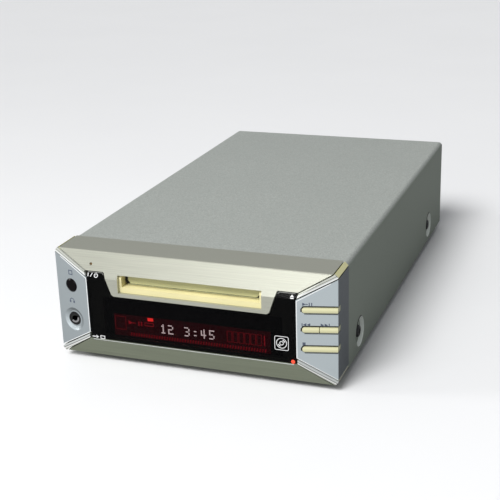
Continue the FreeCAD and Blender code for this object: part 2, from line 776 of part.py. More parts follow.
DISPLAY_HALF = D.face_half - 9.5
DISPLAY_LOW = D.face_low + 2
DISPLAY_HIGH = D.tab_low - 2.1
BEZEL_TOP_RIM = 1.2
KEY_WINDOW_OUT = HALF - 4.6
BOSS_LOW = D.face_low
BOSS_HIGH = D.face_high + 2.4


def slot_bezel():
    """Cream moulding behind the disc slot, with the throat and the flap's bearings."""
    body = front_body("slot_bezel")
    front = FACE - D.skin - D.slip
    low = D.throat_low - D.bezel_floor
    high = D.throat_high + BEZEL_TOP_RIM
    lean = D.face_slope / (D.front_height - D.face_high)
    profile = new_sketch(body, "YZ")
    draw_polygon(profile, [
        (-front, low), (-D.bezel_back, low), (-D.bezel_back, high),
        (-front + (high - D.face_high) * lean, high), (-front, D.face_high),
    ])
    pad(body, profile, D.throat_width + 2 * D.bezel_rim, middle=True)
    throat = new_sketch(body, "XZ", FACE)
    draw_box(throat, -D.throat_width / 2, D.throat_width / 2, D.throat_low, D.throat_high)
    pocket(body, throat, FACE - D.bezel_back + 1)
    ears = new_sketch(body, "XZ", EAR_BACK)
    inner = D.throat_width / 2 + D.bezel_rim
    draw_box(ears, -inner - EAR_REACH, -inner + 0.5, low, FLAP_Z - 2.6)
    draw_box(ears, inner - 0.5, inner + EAR_REACH, low, FLAP_Z - 2.6)
    pad(body, ears, D.frame_wall * 0.8)
    bearing = new_sketch(body, "YZ", -FAR)
    draw_circle(bearing, -D.flap_axis, FLAP_Z, D.pin_diameter / 2 + 0.1)
    pocket(body, bearing, 2 * FAR, reverse=True)
    return body


EAR_BACK = FACE - FRAME_INSET - D.frame_wall - D.frame_wall * 0.8 - D.slip
EAR_REACH = 4.5
FLAP_Z = D.throat_high - 0.95


def slot_flap():
    """Shutter flap, hung from two pins along its top edge."""
    body = front_body("slot_flap")
    half = D.throat_width / 2 - D.flap_gap
    blade = new_sketch(body, "YZ")
    thin = D.flap_sheet / 2
    draw_box(blade, -D.flap_axis - thin, -D.flap_axis + thin, D.throat_low + D.flap_gap, FLAP_Z)
    pad(body, blade, 2 * half, middle=True)
    barrel = new_sketch(body, "YZ")
    draw_circle(barrel, -D.flap_axis, FLAP_Z, thin)
    pad(body, barrel, 2 * half, middle=True)
    pins = new_sketch(body, "YZ")
    draw_circle(pins, -D.flap_axis, FLAP_Z, D.pin_diameter / 2)
    pad(body, pins, 2 * (D.throat_width / 2 + D.bezel_rim) + PIN_REACH, middle=True)
    for side in (-1, 1):
        corner = new_sketch(body, "XZ", FACE)
        draw_polygon(corner, [
            (side * (half + 1), D.throat_low - 1), (side * (half - FLAP_CORNER), D.throat_low - 1),
            (side * (half - FLAP_CORNER), D.throat_low + D.flap_gap),
            (side * half, D.throat_low + D.flap_gap + FLAP_CORNER),
            (side * (half + 1), D.throat_low + D.flap_gap + FLAP_CORNER),
        ])
        pocket(body, corner, FACE)
    return body


FLAP_CORNER = 1.5
PIN_REACH = 5.0


def flap_spring():
    """Torsion spring round the left pin, its leg against the bezel."""
    body = front_body("flap_spring")
    start = D.throat_width / 2 + D.bezel_rim + D.slip
    coil = new_sketch(body, "YZ", -start)
    draw_circle(coil, -D.flap_axis, FLAP_Z, D.pin_diameter / 2 + 0.6)
    draw_circle(coil, -D.flap_axis, FLAP_Z, D.pin_diameter / 2 + 0.15)
    pad(body, coil, SPRING_LENGTH, reverse=True)
    leg = new_sketch(body, "YZ", -start)
    draw_box(leg, -D.flap_axis + 0.9, -D.flap_axis + 1.3, FLAP_Z - 5, FLAP_Z)
    pad(body, leg, 0.4, reverse=True)
    return body


SPRING_LENGTH = 2.0


def display_parts():
    """Fluorescent tube, its holder and its board, one behind the other."""
    tube_front = FACE - FRAME_INSET - 1.6
    tube_back = tube_front - 5
    tube = front_body("display_tube")
    glass = new_sketch(tube, "XZ", tube_back)
    draw_box(glass, -DISPLAY_HALF, DISPLAY_HALF, DISPLAY_LOW, DISPLAY_HIGH)
    pad(tube, glass, tube_front - tube_back)
    dress(tube, "Fillet", 0.8, lambda edge: spans(edge, "y") > 3)
    tip = new_sketch(tube, "YZ", DISPLAY_HALF)
    draw_circle(tip, -tube_back - 2.5, DISPLAY_LOW + 5, 1.2)
    pad(tube, tip, 2.5)
    holder_back = D.board_front + D.board_sheet + D.slip
    holder = front_body("display_holder")
    frame = new_sketch(holder, "XZ", holder_back)
    draw_box(frame, -DISPLAY_HALF, DISPLAY_HALF, DISPLAY_LOW, DISPLAY_HIGH)
    draw_box(frame, -DISPLAY_HALF + 3, DISPLAY_HALF - 3, DISPLAY_LOW + 3, DISPLAY_HIGH - 3)
    pad(holder, frame, tube_back - D.slip - holder_back)
    board = front_body("display_board")
    sheet = new_sketch(board, "XZ", D.board_front)
    draw_box(sheet, -DISPLAY_HALF - 8, DISPLAY_HALF + 8, DISPLAY_LOW - 7.9, DISPLAY_HIGH + 1)
    pad(board, sheet, D.board_sheet)
    chip = new_sketch(board, "XZ", D.board_front - 2)
    draw_box(chip, -20.0, -6.0, 14.0, 28.0)
    draw_box(chip, 10.0, 32.0, 8.0, 11.0)
    pad(board, chip, 2.0)


def switch_board(label, side, switches):
    """Upright board in one wing, with a tact switch behind every button."""
    body = front_body(label)
    sheet = new_sketch(body, "XZ", D.board_front - D.board_sheet)
    inner = side * (D.face_half + 1.8)
    outer = side * BOARD_OUT
    draw_box(sheet, min(inner, outer, key=number_of), max(inner, outer, key=number_of),
             BOARD_BOTTOM, BOARD_TOP)
    pad(body, sheet, D.board_sheet)
    if side < 0:
        lamp_tab = new_sketch(body, "XZ", D.board_front - D.board_sheet)
        draw_box(lamp_tab, -D.face_half - 3, -LAMP_X + 3, LAMP_Z - 3, BOARD_TOP)
        pad(body, lamp_tab, D.board_sheet)
        notch = new_sketch(body, "XZ", D.board_front + 1)
        draw_box(notch, -BOARD_OUT - 1, -D.port_column + JACK_HALF + 0.3,
                 D.jack_height - 7.4, D.jack_height + 5.5)
        pocket(body, notch, D.board_sheet + 2)
        receiver = new_sketch(body, "XZ", D.board_front)
        draw_box(receiver, -D.port_column - 3.2, -D.port_column + 3.2,
                 D.sensor_height - 4, D.sensor_height + 4)
        pad(body, receiver, slope_depth(D.port_column) - LENS_LENGTH - 1.4 - D.board_front)
    housings = new_sketch(body, "XZ", D.board_front)
    tips = new_sketch(body, "XZ", D.board_front)
    for x, z in switches:
        draw_box(housings, side * x - SWITCH_HALF, side * x + SWITCH_HALF, z - SWITCH_HALF, z + SWITCH_HALF)
        draw_prism(tips, side * x, z, 1.0)
    pad(body, housings, D.switch_height - 0.8)
    pad(body, tips, D.switch_height)
    return body


BOARD_OUT = HALF - 4.8
BOARD_BOTTOM = 5.8
BOARD_TOP = D.front_height - BOARD_BOTTOM
SWITCH_HALF = 1.9


def left_ports():
    """Lens of the remote sensor, the phones jack and the small board that carries it."""
    lens = front_body("sensor_lens")
    radius = D.sensor_diameter / 2
    square_to_wing(lens, "Revolution", D.port_column, D.sensor_height, [
        (0, 0.25), (radius - 0.6, 0.25), (radius, -0.15), (radius, -LENS_LENGTH), (0, -LENS_LENGTH)])
    jack = front_body("phones_jack")
    mouth = slope_depth(D.port_column) - JACK_SUNK
    back = mouth - D.jack_depth - 1.0
    housing = new_sketch(jack, "XZ", back)
    draw_box(housing, -D.port_column - JACK_HALF, -D.port_column + JACK_HALF,
             D.jack_height - 5, D.jack_height + 5)
    pad(jack, housing, D.rim_depth - FRAME_INSET - D.frame_wall - D.seat_gap - back)
    nozzle = new_sketch(jack, "XZ", back)
    draw_circle(nozzle, -D.port_column, D.jack_height, D.jack_nozzle / 2)
    pad(jack, nozzle, mouth - back)
    bore = new_sketch(jack, "XZ", mouth)
    draw_circle(bore, -D.port_column, D.jack_height, D.jack_bore / 2)
    pocket(jack, bore, D.jack_depth)
    board = front_body("phones_board")
    top = D.jack_height - 5
    add_block(board, -D.port_column - JACK_HALF, -D.port_column + JACK_HALF,
              -mouth + 6, -1.0, top - D.board_sheet, top)


LENS_LENGTH = 4.6
JACK_HALF = 4.6
JACK_SUNK = 0.9


def standby_lamp():
    """Light pipe for the small lamp in the upper plate, with its diode behind."""
    body = front_body("standby_lamp")
    front = D.rim_depth + D.face_slope * (D.front_height - LAMP_Z) / (D.front_height - D.face_high)
    pipe = new_sketch(body, "XZ", D.board_front)
    draw_circle(pipe, -LAMP_X, LAMP_Z, LAMP_RADIUS)
    pad(body, pipe, front - 0.5 - D.board_front)
    foot = new_sketch(body, "XZ", D.board_front)
    draw_circle(foot, -LAMP_X, LAMP_Z, 1.6)
    pad(body, foot, 4.0)
    return body


# --------------------------------------------------------------------- the casing
def round_pair(label, circles, y, length, hole=None):
    """Posts or tubes along the depth, in front view, from y toward the rear."""
    body = front_body(label)
    sketch = new_sketch(body, "XZ", -y)
    for x, z, radius in circles:
        draw_circle(sketch, x, z, radius)
        if hole:
            draw_circle(sketch, x, z, hole)
    pad(body, sketch, length, reverse=True)
    return body


def side_spots():
    return [(side, y) for side in (-1, 1) for y in (D.side_screw_front, D.side_screw_rear)]


def disc_on_side(body, side, x, y, radius):
    """A circle in the plane at this x, round a side screw."""
    return draw_circle(new_sketch(body, "YZ", side * x), y, D.side_screw_height, radius)


def top_cover():
    """Wrapped steel: top, both sides and a lip at the rear, with four pressed dishes."""
    body = front_body("top_cover")
    half = D.cover_width / 2
    sheet = D.cover_sheet
    add_block(body, -half, half, 0, D.cover_length, 0, D.cover_height)
    dress(body, "Fillet", D.cover_bend,
          lambda edge: spans(edge, "y") > 50 and near(edge.BoundBox.ZMax, D.cover_height))
    inside = new_sketch(body, "XZ")
    inner = half - sheet
    roof = D.cover_height - sheet
    turn = D.cover_bend - sheet
    draw_polygon(inside, [
        (-inner, -1.0), (inner, -1.0), (inner, roof - turn), (inner - turn * 0.3, roof - turn * 0.3),
        (inner - turn, roof), (-inner + turn, roof), (-inner + turn * 0.3, roof - turn * 0.3),
        (-inner, roof - turn),
    ])
    pocket(body, inside, PANEL_BACK)
    rear = new_sketch(body, "XZ", -PANEL_BACK + 1)
    draw_box(rear, -half + sheet, half - sheet, -1.0, D.cover_height - D.cover_lip)
    pocket(body, rear, 1 + sheet * 2)
    for side, y in side_spots():
        bulge = disc_on_side(body, side, inner + 0.4, y, D.dish_diameter / 2)
        loft(body, "AdditiveLoft", bulge,
             disc_on_side(body, side, inner - D.dish_depth, y, D.dish_floor / 2 + 0.4))
        mouth = disc_on_side(body, side, half + 0.1, y, D.dish_diameter / 2 + 0.1)
        loft(body, "SubtractiveLoft", mouth,
             disc_on_side(body, side, half - D.dish_depth, y, D.dish_floor / 2))
    for y in (D.side_screw_front, D.side_screw_rear):
        through = draw_prism(new_sketch(body, "YZ", -FAR), y, D.side_screw_height, D.side_shank / 2 + D.slip)
        pocket(body, through, 2 * FAR, reverse=True)
    lip = new_sketch(body, "XZ", -PANEL_BACK + 1)
    for x in REAR_SCREWS:
        draw_prism(lip, x, LIP_SCREW_Z, D.screw_shank / 2 + 0.2)
    pocket(body, lip, 1 + sheet * 2)
    return body


REAR_SCREWS = (14.6 - D.cover_width / 2, 0.0, D.cover_width / 2 - 14.6)
LIP_SCREW_Z = D.cover_height - D.cover_lip / 2
SCREW_HEAD_HIGH = 1.7


def screw_along(body, x, y, z, axis, way, under, length, head, shank, head_sides=None):
    """Pan-head screw: way is the side that the head is on, under the plane it bears on."""
    plane = {"x": "YZ", "y": "XZ", "z": "XY"}[axis]
    spot = {"x": (y, z), "y": (x, z), "z": (x, y)}[axis]
    flip = axis == "y"
    offset = -under if flip else under
    outward = (way > 0) == flip
    cap = new_sketch(body, plane, offset)
    if head_sides:
        draw_prism(cap, spot[0], spot[1], head / 2, head_sides)
    else:
        draw_circle(cap, spot[0], spot[1], head / 2)
    pad(body, cap, SCREW_HEAD_HIGH, reverse=outward)
    thread = draw_prism(new_sketch(body, plane, offset), spot[0], spot[1], shank / 2)
    pad(body, thread, length, reverse=not outward)


def casing_screws():
    side_set = front_body("side_screws")
    floor = D.cover_width / 2 - D.dish_depth
    for side, y in side_spots():
        screw_along(side_set, 0, y, D.side_screw_height, "x", side, side * floor, 6.0,
                    D.side_head, D.side_shank)
    rear_set = front_body("rear_screws")
    for x in REAR_SCREWS:
        screw_along(rear_set, x, 0, LIP_SCREW_Z, "y", 1, D.cover_length, 6.0,
                    D.screw_head, D.screw_shank)


def chassis_base():
    """Floor plate with a front flange, lugs for the side screws, posts and vents."""
    body = front_body("chassis_base")
    sheet = D.base_sheet
    add_block(body, -INSIDE_HALF, INSIDE_HALF, 0, PANEL_BACK, 0, sheet)
    add_block(body, -INSIDE_HALF + 2, INSIDE_HALF - 2, 0, sheet, 0, FLANGE_HIGH)
    lug = D.cover_width / 2 - D.dish_depth - D.cover_sheet - D.slip
    for side, y in side_spots():
        low = min(side * lug, side * (lug - sheet), key=number_of)
        add_block(body, low, low + sheet, y - 6, y + 6, sheet / 2, D.side_screw_height + 5)
    for y in (D.side_screw_front, D.side_screw_rear):
        tapped = draw_prism(new_sketch(body, "YZ", -lug - 1), y, D.side_screw_height, D.side_shank / 2)
        pocket(body, tapped, 2 * lug + 2, reverse=True)
    posts = new_sketch(body, "XY", sheet / 2)
    for x, y in BOARD_POSTS:
        draw_prism(posts, x, y, 2.6)
    pad(body, posts, BOARD_LOW - sheet / 2)
    taps = new_sketch(body, "XY", FLANGE_HIGH)
    for x, y in BOARD_POSTS:
        draw_prism(taps, x, y, D.screw_shank / 2)
    for x in (-D.foot_half, D.foot_half):
        for y in (D.foot_front, D.foot_rear):
            draw_prism(taps, x, y, FOOT_PLUG)
    pocket(body, taps, FLANGE_HIGH + 1)
    vent = draw_box(new_sketch(body, "XY", 2 * sheet), 13.4 - INSIDE_HALF, -18.0,
                    MECHANISM_END + 14, MECHANISM_END + 16.4)
    slot = pocket(body, vent, 3 * sheet)
    repeat(body, slot, "LinearPattern", Direction=(origin_axis(body, "Y"), [""]), Length=35.0, Occurrences=6)
    return body


FLANGE_HIGH = 14.0
BOARD_LOW = 6.0
FOOT_PLUG = 2.0
BRACKET_WALL = D.deck_half + 9                       # bracket's wall from the middle
MECHANISM_END = D.spindle_back + D.deck_rear         # rear of the mechanism
BOARD_EDGE = INSIDE_HALF - 3.4                       # side boards end here
TRANSFORMER_Y = PANEL_BACK - 45.0
# each board: left, right, front, rear
MAIN_BOARD = (5.0 - BRACKET_WALL, BRACKET_WALL - 5.0, 6.0, MECHANISM_END)
AUDIO_BOARD = (0.5, BOARD_EDGE, MECHANISM_END + 5, PANEL_BACK - 2)
POWER_BOARD = (-BOARD_EDGE, -4.5, MECHANISM_END + 5, TRANSFORMER_Y - 32)


def board_posts(area, sides=4.5, front=5.0, rear=5.0):
    """Four posts inside a board's corners."""
    left, right, near_end, far_end = area
    return [(x, y) for y in (near_end + front, far_end - rear) for x in (left + sides, right - sides)]


MAIN_POSTS = board_posts(MAIN_BOARD)
POWER_POSTS = board_posts(POWER_BOARD)
AUDIO_POSTS = board_posts(AUDIO_BOARD, rear=16.0)
BOARD_POSTS = MAIN_POSTS + POWER_POSTS + AUDIO_POSTS


def feet():
    """Four rubber feet, each with a plug pressed through the base."""
    body = front_body("feet")
    spots = [(x, y) for x in (-D.foot_half, D.foot_half) for y in (D.foot_front, D.foot_rear)]
    pads = new_sketch(body, "XY", -D.foot_height)
    plugs = new_sketch(body, "XY", -D.foot_height / 2)
    for x, y in spots:
        draw_circle(pads, x, y, D.foot_diameter / 2)
        draw_prism(plugs, x, y, FOOT_PLUG)
    pad(body, pads, D.foot_height)
    pad(body, plugs, D.foot_height / 2 + D.base_sheet + 1)
    return body


def rear_panel():
    """Rear sheet with the cut-outs of its jacks and a flange on the base."""
    body = front_body("rear_panel")
    sheet = D.base_sheet
    inner = PANEL_BACK - sheet
    add_block(body, -INSIDE_HALF, INSIDE_HALF, inner, PANEL_BACK, sheet, INSIDE_TOP)
    dress(body, "Chamfer", D.cover_bend / 2,
          lambda edge: spans(edge, "y") > 0.5 and near(edge.BoundBox.ZMin, INSIDE_TOP))
    add_block(body, -INSIDE_HALF + 3, INSIDE_HALF - 3, inner - 8, PANEL_BACK - sheet / 2, sheet, 2 * sheet)
    cuts = new_sketch(body, "XZ", -inner + 1)
    for x, z in line_spots():
        draw_circle(cuts, x, z, D.line_barrel / 2 + D.slip)
    for x in OPTICAL_X:
        draw_box(cuts, x - 4.4, x + 4.4, OPTICAL_Z - 4.4, OPTICAL_Z + 4.4)
    draw_box(cuts, -D.inlet_column - 11.2, -D.inlet_column + 11.2,
             D.inlet_height - 6.7, D.inlet_height + 6.7)
    for x in REAR_SCREWS:
        draw_prism(cuts, x, LIP_SCREW_Z, D.screw_shank / 2)
    pocket(body, cuts, sheet + 2)
    return body


OPTICAL_X = (D.line_column - 25, D.line_column - 37)
OPTICAL_Z = 20.0


def line_spots():
    step = D.line_pitch / 2
    return [(D.line_column + i * step, D.line_height + j * step) for i in (-1, 1) for j in (-1, 1)]


def rear_jacks():
    """Line jacks, optical jacks and the power inlet."""
    inner = PANEL_BACK - D.base_sheet
    tip = D.cover_length + D.jack_reach
    block_half = D.line_pitch / 2 + 6
    housing = front_body("line_jack_block")
    add_block(housing, D.line_column - block_half, D.line_column + block_half, inner - 12, inner - D.seat_gap,
              BOARD_LOW + D.board_sheet, D.line_height + block_half)
    cores = new_sketch(housing, "XZ", -inner)
    for x, z in line_spots():
        draw_circle(cores, x, z, D.line_barrel / 2 - 1.1)
        draw_circle(cores, x, z, D.line_bore / 2)
    pad(housing, cores, tip - inner - 1, reverse=True)
    neck = D.base_sheet + 2 * D.seat_gap
    bore = D.line_barrel / 2 - 0.8
    shells = round_pair("line_jack_shells", [(x, z, D.line_barrel / 2 - D.slip) for x, z in line_spots()],
                        inner, neck, bore)
    collars = new_sketch(shells, "XZ", -inner - neck)
    for x, z in line_spots():
        draw_circle(collars, x, z, D.line_barrel / 2)
        draw_circle(collars, x, z, bore)
    pad(shells, collars, tip - inner - neck, reverse=True)
    optical = front_body("optical_jacks")
    noses = new_sketch(optical, "XZ", -inner + 1)
    doors = new_sketch(optical, "XZ", -PANEL_BACK)
    for x in OPTICAL_X:
        add_block(optical, x - 5.2, x + 5.2, inner - 11, inner, BOARD_LOW + D.board_sheet, OPTICAL_Z + 6)
        draw_box(noses, x - 4.2, x + 4.2, OPTICAL_Z - 4.2, OPTICAL_Z + 4.2)
        draw_box(doors, x - 3.1, x + 3.1, OPTICAL_Z - 3.1, OPTICAL_Z + 3.1)
    pad(optical, noses, 1 + D.base_sheet + 2.4, reverse=True)
    pocket(optical, doors, 3.0)
    inlet = front_body("power_inlet")
    body_half = 11.0
    add_block(inlet, -D.inlet_column - body_half, -D.inlet_column + body_half, inner - 15, PANEL_BACK,
              D.inlet_height - 6.5, D.inlet_height + 6.5)
    add_block(inlet, -D.inlet_column - 15, -D.inlet_column + 15, PANEL_BACK, PANEL_BACK + 2,
              D.inlet_height - 8, D.inlet_height + 8)
    mouth = new_sketch(inlet, "XZ", -PANEL_BACK + INLET_DEEP - 2)
    draw_box(mouth, -D.inlet_column - 7.9, -D.inlet_column + 7.9, D.inlet_height - 4.2, D.inlet_height + 4.2)
    pocket(inlet, mouth, INLET_DEEP + 1)
    pins = new_sketch(inlet, "XZ", -PANEL_BACK + INLET_DEEP - 1)
    for step in (-4.3, 4.3):
        draw_circle(pins, -D.inlet_column + step, D.inlet_height, 1.2)
    pad(inlet, pins, INLET_DEEP - 1.5, reverse=True)


INLET_DEEP = 12.0


# --------------------------------------------------------------- boards and power
def on_board(area, across, along):
    """A spot on a board, in shares of its width and depth."""
    left, right, front, rear = area
    return left + (right - left) * across, front + (rear - front) * along


def board(label, area, posts, parts, cans):
    """Circuit board on its posts; parts are boxes (spot in shares, wide, deep, high), cans round."""
    body = front_body(label)
    top = BOARD_LOW + D.board_sheet
    add_block(body, *area, BOARD_LOW, top)
    holes = new_sketch(body, "XY", top + 1)
    for x, y in posts:
        draw_prism(holes, x, y, D.screw_shank / 2 + D.slip)
    pocket(body, holes, D.board_sheet + 2)
    for across, along, wide, deep, high in parts:
        x, y = on_board(area, across, along)
        add_block(body, x - wide / 2, x + wide / 2, y - deep / 2, y + deep / 2, top, top + high)
    for radius, high, sides, spots in cans:
        round_parts = new_sketch(body, "XY", top)
        for across, along in spots:
            x, y = on_board(area, across, along)
            draw_prism(round_parts, x, y, radius, sides)
        pad(body, round_parts, high)


def circuit_boards():
    board("main_board", MAIN_BOARD, MAIN_POSTS, [
        (0.44, 0.42, 16, 16, 2.0), (0.70, 0.63, 14, 14, 2.0), (0.15, 0.60, 12, 8, 1.6),
        (0.35, 0.92, 48, 4, 5.0), (0.50, 0.06, 60, 4, 4.0), (0.84, 0.80, 6, 12, 3.0)],
        [(4.0, 6.0, 12, [(0.19, 0.78), (0.29, 0.18)])])
    board("audio_board", AUDIO_BOARD, AUDIO_POSTS, [
        (0.31, 0.17, 16, 6, 2.0), (0.65, 0.32, 16, 6, 2.0), (0.29, 0.50, 10, 10, 1.6),
        (0.38, 0.04, 38, 4.5, 5.0)],
        [(4.0, 6.0, 12, [(0.42, 0.68), (0.60, 0.68), (0.77, 0.68), (0.85, 0.16)])])
    board("power_board", POWER_BOARD, POWER_POSTS, [
        (0.34, 0.86, 28, 6, 8.0), (0.72, 0.79, 14, 10, 9.0)],
        [(4.0, 6.0, 12, [(0.21, 0.55)]), (8.0, 26.0, 16, [(0.21, 0.27), (0.52, 0.27)])])
    screws = front_body("board_screws")
    for x, y in BOARD_POSTS:
        screw_along(screws, x, y, 0, "z", 1, BOARD_LOW + D.board_sheet, 5.0,
                    D.screw_head, D.screw_shank, head_sides=8)


def heat_sink():
    """Finned aluminium behind the regulators of the power board."""
    body = front_body("heat_sink")
    low = BOARD_LOW + D.board_sheet
    high = low + 30
    x, y = on_board(POWER_BOARD, 0.824, 0.20)
    add_block(body, x - 8, x + 8, y, y + 2.5, low, high)
    fin = add_block(body, x - 8, x - 6.8, y + 2, y + 14, low, high)
    repeat(body, fin, "LinearPattern", Direction=(origin_axis(body, "X"), [""]), Length=14.8, Occurrences=5)
    return body


def transformer():
    """Laminated core, its windings and the strap that holds it to the base."""
    body = front_body("transformer")
    base = D.base_sheet
    x = 30.4 - INSIDE_HALF
    y = TRANSFORMER_Y
    core = 19.0
    top = 36.0
    add_block(body, x - core, x + core, y - core, y + core, base + 1, top)
    add_block(body, x - 12, x + 12, y - 27, y + 27, 8.0, 30.0)
    dress(body, "Fillet", 3.0, lambda edge: spans(edge, "z") > 15
          and near(abs(edge.BoundBox.XMin - number_of(x)), 12))
    strap = new_sketch(body, "XZ", 5 - y)
    foot = core + 7
    draw_polygon(strap, [
        (x - foot, base), (x - core, base), (x - core, top), (x + core, top), (x + core, base),
        (x + foot, base), (x + foot, base + 1), (x + core + 1, base + 1), (x + core + 1, top + 1),
        (x - core - 1, top + 1), (x - core - 1, base + 1), (x - foot, base + 1),
    ])
    pad(body, strap, 10.0, reverse=True)
    return body


def mechanism_bracket(label, side):
    """Folded stand that carries one side of the mechanism."""
    body = front_body(label)
    sheet = D.base_sheet
    top = D.deck_height - D.deck_sheet - DAMPER_HIGH
    fold = new_sketch(body, "XZ", -BRACKET_START)
    wall = BRACKET_WALL
    draw_polygon(fold, [
        (side * (wall + 8), sheet), (side * wall, sheet), (side * wall, top - sheet),
        (side * (wall - 6), top - sheet), (side * (wall - 6), top), (side * (wall + sheet), top),
        (side * (wall + sheet), 2 * sheet), (side * (wall + 8), 2 * sheet),
    ])
    pad(body, fold, D.deck_front + D.deck_rear - 4, reverse=True)
    middle = D.spindle_back + (D.deck_rear - D.deck_front) / 2
    for step in (-1, 1):
        window = new_sketch(body, "YZ", side * (wall - 2))
        draw_box(window, middle + step * 20 - 12, middle + step * 20 + 12, 6.0, top - 6)
        pocket(body, window, 4 + sheet, reverse=side > 0)
    holes = new_sketch(body, "XY", top + 1)
    for y in DAMPER_Y:
        draw_prism(holes, side * DAMPER_X, D.spindle_back + y, DECK_SCREW)
    pocket(body, holes, sheet + 2)
    return body


BRACKET_START = 1.6
DAMPER_HIGH = 3.8
DAMPER_X = D.deck_half + 6.5
DAMPER_Y = (-34.5, 58.0)
DECK_SCREW = 1.2


# ------------------------------------------------------------ minidisc mechanism
def deck_body(label, x=0, y=0):
    """A piece of the mechanism: origin on the spindle's axis, or on its own axis."""
    return new_body(label, x, SPINDLE + y, DECK_TOP)


PIN_HIGH = 9.75
PIN_SPOTS = (-8.0, 22.0)
OPEN_HALF = 13.0
ROD_Z = -5.5
LOAD_X = -34.0
LOAD_Y = -10.0
LOAD_TEETH = 20
LOAD_PINION = 8
LOAD_LOW = -4.6
LOAD_HIGH = -3.2
SLED_Y = 30.0
SLED_TEETH = 20
SLED_PINION = 10
SLED_LOW = -10.4
SLED_HIGH = -8.8
RACK_LINE = 20.0
LOAD_POSTS = ((-22.8, -2.2), (-14.6, -10.0))
SLED_POSTS = ((32.5, 21.5), (32.5, 38.5))
LOAD_SEAT = -5.4
SLED_SEAT = -11.2
SHAFT = 0.75
GEAR_PIN = 1.0


def mechanism_chassis():
    """Pressed plate with upright flanges, ears, bearing posts and rod holders."""
    body = deck_body("mechanism_chassis")
    sheet = D.deck_sheet
    add_block(body, -D.deck_half, D.deck_half, -D.deck_front, D.deck_rear, -sheet, 0)
    for side in (-1, 1):
        low = min(side * D.deck_half, side * (D.deck_half - 1), key=number_of)
        add_block(body, low, low + 1, -28.0, 50.0, -sheet / 2, 14.0)
        for y in DAMPER_Y:
            x0 = min(side * (D.deck_half - 2), side * (DAMPER_X + 3.5), key=number_of)
            add_block(body, x0, x0 + (DAMPER_X + 5.5 - D.deck_half), y - 3.5, y + 3.5, -sheet, 0)
        for y in (6.5, 64.4):
            add_block(body, side * D.rod_half - 2.5, side * D.rod_half + 2.5, y - 2, y + 2, -8.0, -sheet / 2)
    guides = new_sketch(body, "YZ", -FAR)
    slot_half = D.guide_pin / 2 + D.guide_gap
    for y in PIN_SPOTS:
        draw_box(guides, y - slot_half, y + slot_half,
                 PIN_HIGH - D.holder_drop - slot_half, PIN_HIGH + slot_half)
    pocket(body, guides, 2 * FAR, reverse=True)
    openings = new_sketch(body, "XY", 1)
    draw_box(openings, -OPEN_HALF, OPEN_HALF, 10.2, 62.0)
    draw_circle(openings, 0, 0, 3.0)
    for side in (-1, 1):
        for y in DAMPER_Y:
            draw_prism(openings, side * DAMPER_X, y, 2.0, 8)
    pocket(body, openings, sheet + 2)
    rods = new_sketch(body, "XZ", FAR)
    for side in (-1, 1):
        draw_prism(rods, side * D.rod_half, ROD_Z, D.rod_diameter / 2)
    pocket(body, rods, 2 * FAR)
    for spots, seat in ((LOAD_POSTS, LOAD_SEAT), (SLED_POSTS, SLED_SEAT)):
        posts = new_sketch(body, "XY", seat)
        for x, y in spots:
            draw_prism(posts, x, y, 1.3)
        pad(body, posts, -sheet / 2 - seat)
    add_post(body, LOAD_X, LOAD_Y, GEAR_PIN, LOAD_LOW - 0.4, -sheet / 2)
    add_post(body, RACK_LINE + D.sled_module * SLED_TEETH / 2, SLED_Y, GEAR_PIN, SLED_LOW - 0.4, -sheet / 2)
    return body


def cartridge_holder():
    """Folded tray that the cartridge slides into, with four guide pins."""
    body = deck_body("cartridge_holder")
    half = D.holder_width / 2
    deep = D.holder_length / 2
    sheet = D.holder_sheet
    low = PIN_HIGH - D.holder_height / 2
    high = PIN_HIGH + D.holder_height / 2
    add_block(body, -half, half, -deep, deep, low, high)
    mouth = new_sketch(body, "XZ", deep)
    draw_box(mouth, -half + sheet, half - sheet, low + sheet, high - sheet)
    pocket(body, mouth, D.holder_length - sheet)
    cut_block(body, -22.0, 22.0, -deep - 1, deep - sheet, low - 1, low + 2 * sheet)
    cut_block(body, -6.0, 6.0, 8.0, deep + 1, high - 2 * sheet, high + 1)
    for side in (-1, 1):
        pins = new_sketch(body, "YZ", side * (half - sheet / 2))
        for y in PIN_SPOTS:
            draw_circle(pins, y, PIN_HIGH, D.guide_pin / 2)
        pad(body, pins, D.slider_inner + 1.6 - half, reverse=side < 0)
    return body


def cam_slider():
    """U-shaped slider whose slanted slots lower the holder, with its toothed rack."""
    body = deck_body("cam_slider")
    inner = D.slider_inner
    for side in (-1, 1):
        low = min(side * inner, side * (inner + 1), key=number_of)
        add_block(body, low, low + 1, -28.0, 27.0, -2.4, 14.0)
    add_block(body, -inner - 1, inner + 1, -32.0, -26.0, -2.4, -1.4)
    slots = new_sketch(body, "YZ", -FAR)
    slope = D.holder_drop / D.slider_travel
    tall = (D.guide_pin / 2 + D.guide_gap) * 1.03
    reach = D.guide_pin / 2 + 0.2
    for y in PIN_SPOTS:
        start = y - D.slider_travel - reach
        end = y + reach
        down = PIN_HIGH - D.holder_drop - slope * reach
        up = PIN_HIGH + slope * reach
        draw_polygon(slots, [(start, down - tall), (end, up - tall), (end, up + tall), (start, down + tall)])
    pocket(body, slots, 2 * FAR, reverse=True)
    pitch_line = LOAD_X - D.loading_module * LOAD_TEETH / 2
    add_block(body, -inner - 1, -inner, -28.0, -3.0, LOAD_LOW, -2.0)
    add_block(body, -inner - 1, pitch_line - D.loading_module * 1.1, -28.0, -3.0, LOAD_LOW, LOAD_HIGH)
    rack_teeth(body, pitch_line, LOAD_Y, D.loading_module, LOAD_LOW, LOAD_HIGH, 6, 2)
    return body


def tooth_shape(base, pitch, module):
    """Half-section points of a slim tooth that points to +X."""
    tip = pitch + module * 0.8
    return [(base, -module * 0.78), (pitch, -module * 0.6), (tip, -module * 0.34),
            (tip, module * 0.34), (pitch, module * 0.6), (base, module * 0.78)]


